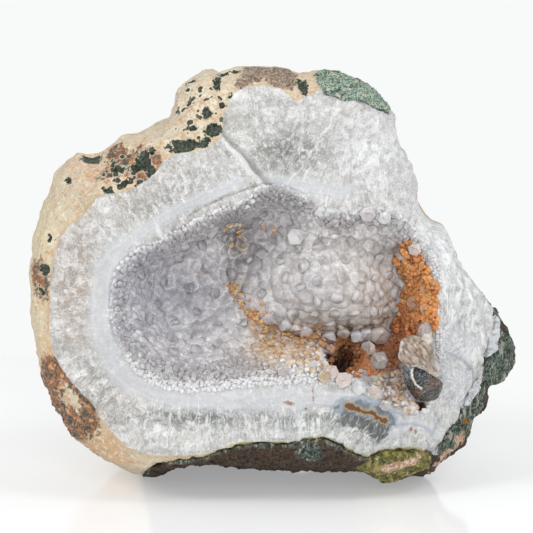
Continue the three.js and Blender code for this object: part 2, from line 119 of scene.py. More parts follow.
# Dark green-black pits in the skin.
SKIN_PITS = [
    [-25.2, 98.9, 4.5, 1.8, 8], [-16.8, 103.2, 2.5, 1.8, 0], [-13.8, 102.6, 0.8, 0.8, 0],
    [-18.5, 100.5, 0.9, 0.7, 0], [-19.4, 99.4, 1.8, 1.2, 20], [-22.7, 103.7, 1.4, 0.8, 0],
    [-18.7, 107.6, 1.3, 1.6, 0], [-11.6, 112.1, 1.1, 0.7, 0], [-11.7, 109.4, 1.3, 0.7, 15],
    [-14.4, 109.9, 0.9, 0.8, 0], [-15.9, 115.2, 1.0, 1.7, 0], [-14, 117.7, 1.6, 0.7, 20],
    [-10.9, 118.8, 1.3, 0.7, 0], [-23.7, 110.4, 0.6, 0.8, 0], [-27.5, 107.7, 1.1, 0.6, 0],
    [-22.8, 115.8, 0.8, 0.6, 0], [-25.1, 114.9, 0.7, 0.4, 0], [-33.8, 97.2, 0.9, 1.0, 0],
    [-36.4, 95, 2.0, 2.6, 20], [-38.6, 92.8, 1.7, 1.2, 0], [-34, 91.6, 1.5, 2.0, 20],
    [-43.8, 92.2, 2.0, 0.9, 0], [-46, 85.8, 2.1, 0.9, -25], [-41.9, 88.2, 2.1, 0.8, 35],
    [-39.8, 89.2, 0.8, 1.1, 0], [-52.2, 94.7, 3.1, 1.3, 0], [-58.2, 88.5, 1.1, 0.9, 0],
    [-37, 88.5, 0.8, 0.7, 0], [-64.6, 63.6, 1.3, 1.6, 20], [-65.6, 57.6, 0.8, 1.2, 30],
    [-63.1, 72.5, 0.5, 0.9, 0], [-61.4, 72.2, 0.3, 0.3, 0], [8.2, 115.2, 1.3, 2.6, 25],
    [10.6, 106.6, 1.1, 2.2, 20], [15.6, 107.6, 2.5, 1.2, 25], [13.4, 109.2, 1.2, 0.9, 0],
]
# Rusty, crumbling patches of the skin, and sound skin left within the rust.
SKIN_RUST = [
    [-61, 33.8, 6.4, 4.6, -50], [-64.5, 27, 3.4, 6.5, 15], [-54.8, 25.4, 3.8, 8.5, 22],
    [-58.6, 19.5, 6.5, 4.2, -50], [-44.3, 95.4, 3.2, 3.4, 50], [-36.4, 93.4, 5.2, 4.8, 20],
    [-65.7, 60.4, 2.8, 5.2, 5], [-45, 91.4, 4.4, 1.6, 20], [13.1, 110.9, 2.3, 1.1, -10],
]
CREAM_ISLANDS = [[-57.5, 28, 1.5, 3.2, 25]]
# Rough taupe scabs of host rock on the top.
SKIN_TAUPE = [
    [-5.6, 118.4, 3.6, 2.8, 20], [1.9, 117.6, 5.0, 3.0, -12], [4.5, 115.5, 3.5, 1.8, 0],
    [16.2, 111.4, 2.9, 1.3, 15], [-9, 115.4, 1.5, 1.6, 0],
]
# Where the skin is pitted all over, as soft patches, each with its strength.
PITTED_SKIN = [(-20, 108, 11, 10, 1.0), (-40, 92, 14, 7, 0.9), (8, 108, 6, 6, 0.8)]
# How far the front of the underside is rounded up, in mm: the stone stands on its back half.
UNDERSIDE = [
    [-60, 2.6], [-40, 2.6], [-36, 4], [-33, 5], [-24, 5.2], [-14, 3.4], [0, 2.4], [14, 3], [22, 4],
    [26, 4.3], [43, 4.3], [50, 3], [60, 2.5],
]
SLAB_EDGE = {"x": -14, "z": 101, "right": 0.735, "up": 0.678}
HOLLOW_BACK = 14  # y at which the hollow ends and the solid wall behind it begins
FAR = 9.0  # mm from a mark, further than any mark shows


def tone(red, green, blue):
    """A colour as a paint chart gives it, from 0 to 255, made linear."""
    return [*(((c / 255 + 0.055) / 1.055) ** 2.4 for c in (red, green, blue)), 1.0]


def linked(name, data):
    """A new object in the scene."""
    made = bpy.data.objects.new(name, data)
    scene.collection.objects.link(made)
    return made


def settled(piece):
    """Makes what the modifiers show into the piece's own plain mesh."""
    graph = bpy.context.evaluated_depsgraph_get()
    mesh = bpy.data.meshes.new_from_object(piece.evaluated_get(graph), depsgraph=graph)
    piece.modifiers.clear()
    piece.data = mesh
    return piece


def even_copy(node, name, grain, rounds):
    """A copy of a CAD solid with its loose faces joined and its surface in even squares of one size."""
    piece = linked(name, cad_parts[node].data.copy())
    piece.modifiers.new("join", "WELD").merge_threshold = 1e-6
    remesh = piece.modifiers.new("even", "REMESH")
    remesh.mode, remesh.voxel_size = "VOXEL", grain * MM
    soften = piece.modifiers.new("soften", "SMOOTH")
    soften.factor, soften.iterations = 0.5, rounds
    settled(piece).data.materials.clear()
    return piece


def read(entries, key, width=1):
    """One number, or a few, for every point of a mesh."""
    found = np.empty(len(entries) * width, np.float32)
    entries.foreach_get(key, found)
    return found if width == 1 else found.reshape(-1, width).astype(float)


def places(piece):
    """Where every point of a piece is, in mm."""
    return read(piece.data.vertices, "co", 3) / MM


def facings(piece):
    """Which way the surface faces at every point."""
    return read(piece.data.vertex_normals, "vector", 3)


def put(piece, points):
    """Moves the points of a piece, kept inside the stone's own box."""
    low, high = np.array(cad_low) / MM, np.array(cad_high) / MM
    inside = np.clip(points, low, high) * MM
    piece.data.vertices.foreach_set("co", inside.astype(np.float32).ravel())
    piece.data.update()


def store(piece, **layers):
    """Keeps numbers, places or colours for every point, for the materials to read."""
    kinds = {1: ("FLOAT", "value"), 3: ("FLOAT_VECTOR", "vector"), 4: ("FLOAT_COLOR", "color")}
    for name, values in layers.items():
        kind, key = kinds[1 if values.ndim == 1 else values.shape[1]]
        layer = piece.data.attributes.new(name, kind, "POINT")
        layer.data.foreach_set(key, values.astype(np.float32).ravel())


def ease(values, low, high):
    """0 below low, 1 above high and a smooth slope between."""
    share = np.clip((values - low) / (high - low), 0, 1)
    return share * share * (3 - 2 * share)


def glow(x, z, middle_x, middle_z, wide, high):
    """1 in the middle of a soft oval, fading to 0 around it."""
    return np.exp(-(((x - middle_x) / wide) ** 2) - ((z - middle_z) / high) ** 2)


def ripple(points, size, seed=0):
    """Smooth noise from about -1 to 1; size is the width of one swell in mm."""
    shift = Vector((17.31 * seed, 5.17 * seed, 9.73 * seed))
    return np.array([noise.noise(Vector(point) + shift) for point in (points / size).tolist()])


def chips(points, size):
    """Heights of a surface broken into small flats, each with its own slope."""
    heights = []
    for point in (points / size).tolist():
        middle = noise.voronoi(point)[1][0]
        slope = noise.cell_vector(middle * 9.7)
        heights.append((Vector(point) - middle).dot(slope - Vector((0.5, 0.5, 0.5))))
    return np.array(heights)


def rounded(outline, closed=True):
    """The same line with its corners cut off once."""
    line = np.array(outline, float)
    ends = np.roll(line, -1, 0) if closed else line[1:]
    starts = line if closed else line[:-1]
    cut = np.stack([0.75 * starts + 0.25 * ends, 0.25 * starts + 0.75 * ends], 1).reshape(-1, 2)
    return cut if closed else np.vstack([line[:1], cut, line[-1:]])


def nearest_on(line, spots, closed=False):
    """How far each [x, z] spot is from a line of points, and the nearest place on that line."""
    line = np.asarray(line, float)
    ends = np.roll(line, -1, 0) if closed else line[1:]
    best, found = np.full(len(spots), 1e9), np.zeros((len(spots), 2))
    for start, end in zip(line, ends):
        along = np.clip((spots - start) @ (end - start) / ((end - start) @ (end - start)), 0, 1)
        near = start + along[:, None] * (end - start)
        away = np.hypot(*(spots - near).T)
        closer = away < best
        best[closer], found[closer] = away[closer], near[closer]
    return best, found


def from_curve(line, spots):
    """How far each spot is from an open line with rounded corners."""
    return nearest_on(rounded(line, False), spots)[0]


def outside(outline, spots):
    """How far each spot is outside a closed outline, negative inside, and the nearest place on it."""
    line = rounded(outline)
    away, near = nearest_on(line, spots, closed=True)
    inside = np.zeros(len(spots), bool)
    x, z = spots.T
    for (x0, z0), (x1, z1) in zip(line, np.roll(line, -1, 0)):
        if z0 != z1:
            inside ^= ((z1 > z) != (z0 > z)) & (x < (x0 - x1) * (z - z1) / (z0 - z1) + x1)
    return np.where(inside, -away, away), near


def out_of_ovals(ovals, spots):
    """How far each spot is outside the nearest of a list of ovals, in mm and negative inside."""
    best = np.full(len(spots), FAR)
    for x, z, wide, high, turn in ovals:
        c, s = math.cos(math.radians(turn)), math.sin(math.radians(turn))
        dx, dz = spots[:, 0] - x, spots[:, 1] - z
        share = np.hypot((c * dx + s * dz) / wide, (c * dz - s * dx) / high)
        best = np.minimum(best, (share - 1) * min(wide, high))
    return best


def marks_on(points, ovals):
    """As out_of_ovals, for marks on the front of a piece: none runs much further back than it is wide."""
    best = np.full(len(points), FAR)
    for oval in ovals:
        start = np.argmin(np.hypot(points[:, 0] - oval[0], points[:, 2] - oval[1]) + 0.1 * points[:, 1])
        back = points[:, 1] - points[start, 1] - 1.4 * max(oval[2], oval[3])
        best = np.minimum(best, out_of_ovals([oval], points[:, [0, 2]]) + 0.6 * np.maximum(0, back))
    return best


def washed(points, base, washes):
    """A colour for every point: the base with soft washes of other colours laid over it in turn.
    A wash is its middle x and z, its half width and half height in mm, its colour and its strength."""
    colours = np.tile(np.array(tone(*base)), (len(points), 1))
    for *oval, colour, strength in washes:
        share = glow(points[:, 0], points[:, 2], *oval)
        colours += (strength * share)[:, None] * (np.array(tone(*colour)) - colours)
    return colours


def patches(points, spots, base=0.0):
    """From 0 to 1, how strongly soft patches cover every point. A patch is its middle x and z, its half
    width and half height in mm, and its strength."""
    share = np.full(len(points), base)
    for *oval, strength in spots:
        share += strength * glow(points[:, 0], points[:, 2], *oval) * (1 - share)
    return share


def line_height(line, x):
    """How high a line of points is at each x."""
    return np.interp(x, *zip(*line))


def drawn_in(points):
    """How the broken outline draws in: at both lower corners, at a notch on the right and under the front."""
    x, y, z = points.T
    left = (1 - ease(x, -50, -36)) * (1 - ease(z, 24, 44))
    right = ease(x, 42, 52) * (1 - ease(z, 24, 34))
    notch = glow(x, z, 47.5, 77, 6, 6)
    foot = line_height(UNDERSIDE, x) * (1 - ease(z, 1, 13)) * (1 - ease(y, -24, 5))
    inwards = 0.9 * left - 1.8 * right - 2.4 * notch
    return np.column_stack([inwards, 0 * y, 0.5 * left + 0.4 * right - 0.8 * notch + foot])


def add_node(tree, kind, inputs=(), **settings):
    """Adds a node to a tree. Its inputs are outputs of other nodes or plain values."""
    node = tree.nodes.new(kind)
    for key, value in settings.items():
        setattr(node, key, value)
    for socket, value in dict(inputs).items():
        if isinstance(value, bpy.types.NodeSocket):
            tree.links.new(value, node.inputs[socket])
        else:
            node.inputs[socket].default_value = value
    return node


class Finish:
    """A material drawn with nodes. Each method adds one step of the pattern and returns its output. Where
    it takes a value, a word stands for the number of that name that the piece keeps at every point. Where
    it takes a colour, three numbers are a paint chart's."""

    def __init__(self, name, **constants):
        self.material = bpy.data.materials.new(name)
        self.material.use_nodes = True
        self.tree = self.material.node_tree
        self.shader = self.tree.nodes["Principled BSDF"]
        for socket, value in constants.items():
            self.shader.inputs[socket.replace("_", " ")].default_value = value
        self.place = self.node("TexCoord").outputs["Object"]

    def node(self, kind, inputs=(), **settings):
        """Adds a shader node, as add_node does, with words taken as the names of stored values."""
        ready = dict(inputs)
        for socket, value in ready.items():
            if isinstance(value, str):
                ready[socket] = self.stored(value)
        return add_node(self.tree, "ShaderNode" + kind, ready, **settings)

    def stored(self, name, output="Fac"):
        """What the piece keeps under a name at every point: a number, a place or a colour."""
        return self.node("Attribute", attribute_name=name).outputs[output]

    def reckon(self, operation, a, b=0.0):
        return self.node("Math", {0: a, 1: b}, operation=operation).outputs[0]

    def plus(self, a, b):
        return self.reckon("ADD", a, b)

    def times(self, a, b):
        return self.reckon("MULTIPLY", a, b)

    def off(self, value, middle):
        """How far a value is from a middle, either way."""
        return self.reckon("ABSOLUTE", self.plus(value, -middle))

    def waves(self, value, pace):
        """Even waves from -1 to 1 as a value grows."""
        return self.reckon("SINE", self.times(value, pace))

    def swing(self, noise, width):
        """Noise about nought in place of noise about a half."""
        return self.times(self.plus(noise, -0.5), width)

    def frayed(self, value, noise, by):
        """A value moved up and down by noise, which frays the edge of a mark."""
        return self.plus(value, self.slope(noise, 0.3, 0.7, -by, by))

    def mottle(self, size, detail=3.0, place=None, turbulence=0.0):
        """Noise from 0 to 1 in patches of one size in mm."""
        inputs = {"Vector": place or self.place, "Scale": 1 / (size * MM), "Detail": detail, "Roughness": 0.6}
        return self.node("TexNoise", {**inputs, "Distortion": turbulence}).outputs["Fac"]

    def grains(self, size, output="Distance", feature="F1"):
        """Cells of one size in mm: how far it is to their middles or edges, or their own random colour."""
        inputs = {"Vector": self.place, "Scale": 1 / (size * MM)}
        return self.node("TexVoronoi", inputs, feature=feature).outputs[output]

    def slope(self, value, low, high, start=0.0, end=1.0):
        """Turns a value from low to high into a share from start to end, smoothly."""
        inputs = {"Value": value, "From Min": low, "From Max": high, "To Min": start, "To Max": end}
        return self.node("MapRange", inputs, interpolation_type="SMOOTHSTEP").outputs["Result"]

    def layered(self, colour, *coats):
        """Lays coats over a colour in turn. A coat is a value, the two ends between which it comes in, its
        full strength and its colour, or only a share and its colour."""
        for value, *ends, coat in coats:
            share = self.slope(value, *ends[:2], 0.0, ends[2]) if ends else value
            below, above = (tone(*c) if isinstance(c, tuple) else c for c in (colour, coat))
            colour = self.node("Mix", {0: share, 6: below, 7: above}, data_type="RGBA").outputs[2]
        return colour

    def raise_by(self, height, distance, strength):
        """Fine relief, as a bump of this many mm."""
        bump = self.node("Bump", {"Height": height, "Distance": distance * MM, "Strength": strength})
        self.tree.links.new(bump.outputs["Normal"], self.shader.inputs["Normal"])

    def paint(self, colour):
        """Gives the finish its colour and hands over the material."""
        self.tree.links.new(colour, self.shader.inputs["Base Color"])
        return self.material


@contextmanager
def reshaped(mesh):
    """Opens a mesh for bmesh to work on and puts the result back."""
    form = bmesh.new()
    form.from_mesh(mesh)
    yield form
    form.to_mesh(mesh)
    form.free()


def finer_front(piece, wanted):
    """Halves the squares of a piece wherever wanted(middles, normals) says so, in both directions."""
    with reshaped(piece.data) as form:
        middles = np.array([face.calc_center_median() for face in form.faces]) / MM
        normals = np.array([face.normal for face in form.faces])
        chosen = wanted(middles, normals)
        edges = {edge for face, fine in zip(form.faces, chosen) if fine for edge in face.edges}
        bmesh.ops.subdivide_edges(form, edges=list(edges), cuts=1, use_grid_fill=True)
        bmesh.ops.triangulate(form, faces=[face for face in form.faces if len(face.verts) > 4])


WALL_GRAIN = 1.66  # mm between the wall's points at the back; it is halved in front, and again on the face
wall = even_copy("geode_wall", "agate_wall", WALL_GRAIN, 2)


def in_view(middles, normals):
    """The squares of the wall that show from the front, and those of the hollow."""
    in_hollow = (middles[:, 1] < HOLLOW_BACK) & (outside(HOLLOW_LIP, middles[:, [0, 2]])[0] < 0)
    return (normals[:, 1] < 0.1) & (middles[:, 2] > 3) & ((middles[:, 1] < -4) | in_hollow)


def on_face(middles, normals):
    """The squares of the broken face, down to a little way inside the lip."""
    spots = middles[:, [0, 2]]
    between = (outside(FACE_EDGE, spots)[0] < 0) & (outside(HOLLOW_LIP, spots)[0] > -2)
    return (normals[:, 1] < -0.05) & (middles[:, 1] < -6) & between


finer_front(wall, in_view)
finer_front(wall, on_face)
wall_rest, wall_out = places(wall), facings(wall)
wall_x, wall_y, wall_z = wall_rest.T
wall_spots = wall_rest[:, [0, 2]]
lip, lip_spot = outside(HOLLOW_LIP, wall_spots)
in_hollow = (lip < 0) & (wall_y < HOLLOW_BACK)
behind = (wall_y > 2) & ~in_hollow
edge = outside(FACE_EDGE, wall_spots)[0]
edge = np.where(behind, np.maximum(edge, 5), edge)
# On the right the broken face runs round the flank, to a thin brown line at its edge.
flank = wall_y - 11 + 2.2 * ripple(wall_rest, 9, 26) + ripple(wall_rest, 3, 25)
flank += np.maximum(0, 26 - wall_x) + np.maximum(0, 40 - wall_z)
flank += np.maximum(0, wall_z + 0.25 * wall_x - 110)
edge = np.minimum(edge, flank)
band = np.full(len(lip), FAR)
for line, half in AGATE_BANDS:
    band = np.minimum(band, from_curve(line, wall_spots) / half)
crack = nearest_on(AGATE_CRACK, wall_spots)[0]
pit = np.where(behind, FAR, marks_on(wall_rest, SKIN_PITS))
rust = np.where(wall_y > 16, FAR, marks_on(wall_rest, SKIN_RUST))
rust = np.maximum(rust, 0.6 - out_of_ovals(CREAM_ISLANDS, wall_spots))
taupe = marks_on(wall_rest, SKIN_TAUPE)

# Fibres run outwards from the lip: the pattern follows the nearest place on the lip.
sway = 0.8 * ripple(wall_rest, 3.6, 17) + 0.3 * ripple(wall_rest, 1.4, 18)
outwards = np.column_stack([lip_spot[:, 0] + sway, np.abs(lip) * 0.2, lip_spot[:, 1] - sway])
# On the right flank they run along the lip instead.
turned = ease(wall_x + 0.2 * (wall_z - 60), 38, 46)[:, None]
along_lip = np.column_stack([np.abs(lip) + sway, 0.15 * wall_y, 0.2 * lip_spot[:, 1]])
fibre_place = (1 - turned) * outwards + turned * along_lip
quartz = ease(-edge, -0.3, 1.2) * (1 - ease(-lip, 1, 4))
agate = 1 - ease(band, 0.55, 1.25)
# The slab on the upper left ends in a small cliff, and the quartz past it lies deeper.
slab_x, slab_z = wall_x - SLAB_EDGE["x"], wall_z - SLAB_EDGE["z"]
past = slab_x * SLAB_EDGE["right"] + slab_z * SLAB_EDGE["up"] + 0.7 * ripple(wall_rest, 4, 12)
along_slab = slab_z * SLAB_EDGE["right"] - slab_x * SLAB_EDGE["up"]
on_slab = ease(along_slab, -21, -17) * (1 - ease(along_slab, 2, 6)) * quartz
drop = ease(past, -0.2, 0.7) * np.exp(-np.maximum(past, 0) / 3.5)
cliff = on_slab * (0.35 * np.exp(-(((past + 1) / 1.6) ** 2)) - 2.0 * drop)
# The relief of the broken quartz is fibrous and uneven, with streaks on the right. It is lower on the
# agate, which stands a little proud, and the crack is a groove.
fibres = ripple(fibre_place, 1.5) + 0.7 * ripple(fibre_place, 0.7, 1)
broken = 1.008 * chips(wall_rest, 3.6) + 0.525 * chips(wall_rest, 1.5)
right_side = ease(wall_x, 22, 40)
across_streaks = np.array([[0.95, 0, -0.3], [0, 1, 0], [0.1, 0, 0.22]])
streaky = ripple(wall_rest @ across_streaks, 1.6, 13)
swells = 0.5 * ripple(wall_rest, 4.6, 2) + 0.3 * ripple(wall_rest, 1.7, 14)
rise = quartz * (1 - 0.85 * agate) * (0.26 * fibres + 0.4 * broken + swells)
rise += 0.8 * quartz * right_side * streaky + cliff
rise += 0.25 * agate * quartz - 0.5 * (1 - ease(crack, 0.1, 0.6)) * quartz
# The skin is lumpy, its pits are hollow, and its rust and its scabs of host rock are rough.
skin = ease(edge, -0.3, 1.0)
lumps = 0.9 * ripple(wall_rest, 6, 3) + 0.5 * ripple(wall_rest, 2.2, 4) + 0.2 * ripple(wall_rest, 1.1, 15)
rise += skin * lumps
rise -= skin * 1.1 * (1 - ease(pit, -0.7, 0.4))
rise += skin * (1 - ease(rust, -0.5, 1.5)) * 0.9 * ripple(wall_rest, 1.3, 5)
rise += skin * (1 - ease(taupe, -0.5, 1.5)) * (0.6 * chips(wall_rest, 2.2) + 0.7 * ripple(wall_rest, 1.5, 16))
# The dark holes sink in, and above the boss the floor comes up to meet the lip.
cave = np.where(in_hollow, out_of_ovals(CAVE_MOUTH, wall_spots) + 1.2 * ripple(wall_rest, 2, 24), FAR)
rise -= 6.0 * (1 - ease(cave, -1.5, 0.8))
rise += 0.6 * ease(wall_z, 104, 115)
above_boss = in_hollow * glow(wall_x, wall_z, 20, 74.5, 13, 5)
forward = 0.85 * above_boss * np.minimum(0, -18 - wall_y)
wall_now = wall_rest + wall_out * rise[:, None] + drawn_in(wall_rest)
wall_now[:, 1] += forward
put(wall, wall_now)

QUARTZ_WHITE = (195, 194, 192)
QUARTZ_WASHES = [
    (-56, 60, 8, 18, (172, 152, 134), 0.95), (-43, 84, 14, 6, (176, 166, 154), 0.85),
    (-25, 90, 9, 6, (166, 162, 156), 0.85), (-29, 82, 9, 5, (146, 144, 140), 0.9),
    (-47, 27, 9, 9, (172, 160, 147), 0.85), (-9, 103, 8, 7, (196, 194, 186), 0.8),
    (4, 97, 10, 5.5, (132, 133, 127), 0.95), (20, 99, 6, 6, (186, 188, 188), 0.6),
    (-21, 24.8, 16, 2.0, (112, 119, 115), 0.9), (8, 24, 14, 2.6, (156, 162, 160), 0.8),
    (28.5, 20.5, 5, 3.4, (112, 116, 112), 0.95), (50, 62, 14, 30, (246, 247, 250), 0.95),
    (28, 96, 9, 9, (240, 240, 243), 0.9), (-28, 18, 12, 3, (206, 204, 198), 0.8),
    (-43, 14, 4, 3, (202, 174, 138), 0.7), (-36, 9.5, 7, 2, (200, 162, 114), 0.8),
    (10, 20, 12, 2, (200, 202, 198), 0.7),
]
# How much the clear gaps between the white fibres show, from 0 to 1.
CLEAR_GAPS = [
    (-21, 24.8, 17, 2.2, 1.0), (12, 24, 16, 2.6, 0.85), (4, 97, 11, 6, 0.7), (28, 20.5, 6, 4, 1.0),
    (-50, 32, 7, 10, 0.45), (50, 50, 12, 16, 0.4),
]
SKIN_CREAM = (201, 190, 166)
SKIN_WASHES = [
    (-66, 70, 6, 20, (204, 188, 152), 0.7), (-62, 40, 8, 8, (200, 168, 124), 0.7),
    (-50, 12, 12, 10, (187, 150, 107), 0.9), (-45, 92, 14, 6, (206, 172, 142), 0.7),
    (-53, 83, 8, 6, (182, 166, 140), 0.8), (-20, 108, 9, 8, (208, 202, 180), 0.85),
    (11, 113, 5, 4, (206, 180, 154), 0.9), (16, 110, 4, 3, (170, 140, 128), 0.8),
    (46, 78, 14, 26, (184, 158, 138), 0.9),
]
host = wall_z - line_height(HOST_ROCK_LINE, wall_x)
# Marks of the broken face only.
for mark, away in {
    "line": np.min([from_curve(line, wall_spots) for line in AGATE_LINES], 0),
    "eye": outside(AGATE_EYE, wall_spots)[0],
    "shade": out_of_ovals(EYE_SHADE, wall_spots),
    "stain": out_of_ovals(AGATE_RUST, wall_spots),
    "lumps": out_of_ovals(AGATE_LUMPS, wall_spots),
}.items():
    store(wall, **{mark: np.where(behind, FAR, away)})
store(
    wall, edge=edge, band=band, crack=crack, pit=pit, rust=rust, taupe=taupe, cave=cave,
    fibre=fibre_place * MM,
    streak=nearest_on(RUST_STREAK, wall_spots)[0],
    host=np.where((wall_x > 44) | (wall_x < -30), FAR, host),
    past=np.where(on_slab > 0.4, past, FAR),
    lip=np.where(in_hollow, lip, np.abs(lip)),
    gap=patches(wall_rest, CLEAR_GAPS, 0.12),
    pitted=patches(wall_rest, PITTED_SKIN) * ~behind,
    face=washed(wall_rest, QUARTZ_WHITE, QUARTZ_WASHES),
    cream=washed(wall_rest, SKIN_CREAM, SKIN_WASHES),
)

stone = Finish(
    "agate and quartz", Roughness=0.5, IOR=1.54, Subsurface_Weight=0.2,
    Subsurface_Radius=(1, 0.95, 0.9), Subsurface_Scale=0.0012,
)
along = stone.stored("fibre", "Vector")
thread = stone.mottle(0.5, 3, along)
strand = stone.mottle(1.2, 4, along, 0.6)
cloud = stone.mottle(4.0, 4)
sugar = stone.mottle(0.5, 3)
loose = stone.mottle(1.2, 4)
shard = stone.grains(1.5, "Color")
swirl = stone.waves(stone.mottle(6.0, 1, None, 1.2), 46.0)
swirl_colour = stone.layered((170, 175, 179), (swirl, -0.6, 0.9, 1.0, (208, 208, 209)))
drift = stone.swing(stone.mottle(5.0, 3), 1.1)
band_place = stone.plus("band", drift)
layers = stone.waves(stone.plus(band_place, stone.slope(cloud, 0.3, 0.7, 0.0, 0.5)), 9.0)
band_colour = stone.layered((188, 190, 194), (layers, -0.3, 0.9, 0.4, (210, 211, 212)))
feather = stone.plus(band_place, stone.slope(strand, 0.35, 0.65, -0.6, 0.5))
feather = stone.plus(feather, stone.slope(thread, 0.35, 0.65, -0.45, 0.35))
blue_line = stone.slope(stone.off(stone.plus("lip", drift), 0.9), 0.5, 0.15, 0.0, 0.5)
eye_colour = stone.layered((92, 103, 115), (stone.mottle(2.2, 3), 0.4, 0.62, 1.0, (146, 154, 163)))
shade_colour = stone.layered((74, 78, 76), (stone.mottle(0.7, 4, along), 0.5, 0.68, 1.0, (176, 180, 180)))
streak = stone.frayed("streak", stone.mottle(2.0, 3), 0.5)
# The top of the slab's cliff, painted pale as a painted highlight on its chipped rim.
slab_rim = stone.off(stone.frayed("past", sugar, 0.6), -0.8)
quartz_colour = stone.layered(
    stone.stored("face", "Color"),
    (cloud, 0.4, 0.66, 0.5, (207, 206, 204)),
    (stone.times("gap", stone.slope(strand, 0.62, 0.48)), (92, 96, 91)),
    (strand, 0.54, 0.7, 0.7, (222, 222, 223)),
    (strand, 0.46, 0.32, 0.45, (148, 141, 132)),
    (thread, 0.54, 0.7, 0.75, (224, 224, 225)),
    (thread, 0.47, 0.32, 0.45, (130, 124, 116)),
    (shard, 0.5, 0.8, 0.3, (226, 227, 229)),
    (shard, 0.5, 0.2, 0.3, (146, 146, 148)),
    (sugar, 0.55, 0.7, 0.7, (228, 228, 229)),
    (sugar, 0.44, 0.3, 0.55, (126, 121, 115)),
    (stone.frayed("lumps", cloud, 1.5), 0.8, -0.8, 0.6, swirl_colour),
    (feather, 1.35, 0.55, 0.76, band_colour),
    (stone.times(blue_line, stone.slope("band", 1.6, 1.1)), (146, 158, 174)),
    (stone.frayed("crack", sugar, 0.12), 0.28, 0.08, 0.6, (150, 132, 108)),
    (stone.frayed("eye", loose, 0.45), 0.3, -0.5, 0.9, eye_colour),
    (stone.frayed("shade", loose, 0.45), 0.7, -0.3, 0.9, shade_colour),
    (stone.frayed("line", sugar, 0.15), 0.6, 0.2, 0.6, (146, 155, 166)),
    (streak, 1.45, 0.7, 0.75, (176, 146, 86)),
    (streak, 0.85, 0.2, 0.92, (88, 45, 8)),
    (stone.frayed("stain", sugar, 0.15), 0.14, -0.1, 0.8, (138, 80, 18)),
    # A painted highlight along the cliff's rim, and a painted shadow just below the cliff.
    (slab_rim, 1.2, 0.3, 0.6, (220, 220, 220)),
    (stone.off("past", 1.2), 1.2, 0.2, 0.6, (138, 136, 130)),
)

fleck = stone.mottle(0.8, 4)
ragged = stone.swing(stone.mottle(1.2, 5), 4.2)
blotch = stone.mottle(1.5, 5, None, 0.5)
network = stone.frayed(stone.grains(2.6, "Distance", "DISTANCE_TO_EDGE"), fleck, 0.1)
network = stone.times(stone.slope(network, 0.12, 0.02), "pitted")
taupe_colour = stone.layered((92, 76, 64), (fleck, 0.36, 0.64, 1.0, (168, 148, 128)))
rust_colour = stone.layered(
    (34, 40, 34),
    (fleck, 0.42, 0.6, 1.0, (84, 84, 68)),
    (blotch, 0.48, 0.51, 1.0, (152, 94, 54)),
    (blotch, 0.58, 0.63, 0.7, (206, 172, 132)),
)
pit_colour = stone.layered((28, 34, 27), (fleck, 0.42, 0.66, 1.0, (78, 92, 70)))
dots = stone.plus(stone.grains(2.3), stone.slope(stone.grains(2.3, "Color"), 0.5, 0.75, 0.0, 0.5))
dots = stone.plus(dots, stone.slope("pitted", 0.25, 0.8, 0.45, -0.06))
dots = stone.plus(stone.times(stone.plus(dots, -0.3), 2.0), stone.times(ragged, 0.25))
pit_edge = stone.reckon("MINIMUM", stone.plus("pit", stone.times(ragged, 0.75)), dots)
skin_colour = stone.layered(
    stone.stored("cream", "Color"),
    (stone.mottle(3.0, 4), 0.48, 0.68, 0.6, (192, 144, 98)),
    (stone.mottle(1.3, 4), 0.5, 0.68, 0.7, (222, 215, 198)),
    (sugar, 0.56, 0.7, 0.5, (228, 224, 214)),
    (fleck, 0.45, 0.3, 0.7, (138, 110, 78)),
    (stone.plus("edge", ragged), 1.3, 0.2, 0.5, (188, 152, 112)),
    (stone.times(network, 0.55), (176, 116, 74)),
    (stone.plus("taupe", ragged), 0.4, -0.3, 1.0, taupe_colour),
    (stone.plus("rust", stone.times(ragged, 1.3)), 0.7, -0.3, 0.95, rust_colour),
    (pit_edge, 0.7, 0.2, 0.55, (222, 210, 186)),
    (pit_edge, 0.14, 0.02, 1.0, pit_colour),
)

stone_colour = stone.layered(
    quartz_colour,
    (stone.plus("edge", stone.times(ragged, 0.3)), -0.15, 0.25, 1.0, skin_colour),
    ("lip", -0.5, -3.0, 1.0, (206, 202, 206)),
    # The cave is painted near-black brown: painted shade deep in the hole, over its own rusty brown.
    ("cave", 1.8, 0.2, 1.0, (48, 18, 7)),
    (stone.plus("host", stone.times(ragged, 0.45)), 1.3, 0.6, 0.75, (170, 160, 98)),
)
stone.raise_by(stone.plus(sugar, stone.times(thread, 0.6)), 0.25, 0.7)
wall.data.materials.append(stone.paint(stone_colour))
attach(wall, "root")
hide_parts("geode_wall")


# ----------------------------------------------------------------------
# The host rock: dark brown, granular basalt under and behind the geode, with dark green clay along
# its upper edge, an olive lump with pink grains in front of the right foot and a green lump at the side.
# ----------------------------------------------------------------------
OLIVE_LUMP = [[34, 7.5, 11, 7.5, 8]]
PINK_GRAINS = [
    [33.3, 7.6, 4.5, 2.4, 20], [38.6, 9.6, 3.6, 1.2, 25], [50, 9, 5.5, 1.0, 50], [55, 14, 1.6, 1.6, 0],
]
OCHRE_SPOT = [[56.6, 19.6, 0.8, 1.1, 0]]
GREEN_CLAY = [[64.8, 36, 7, 8, 0], [55, 19, 4, 11, -35], [10, 15, 3.4, 2.6, 0]]
ROCK_GRAIN, PROUD = 0.85, 0.3  # mm between points, and how far rough rock stands out on the whole
rock = even_copy("basalt_matrix", "basalt_rock", ROCK_GRAIN, 1)
rock_rest, rock_out = places(rock), facings(rock)
rock_x, rock_y, rock_z = rock_rest.T
rock_spots = rock_rest[:, [0, 2]]
coarse = 1.44 * chips(rock_rest, 4.5) + 0.8 * chips(rock_rest, 1.9)
grit = 0.5 * ripple(rock_rest, 2.4, 6) + 0.3 * ripple(rock_rest, 1.1, 7)
put(rock, rock_rest + rock_out * (PROUD + coarse + grit)[:, None] + drawn_in(rock_rest))
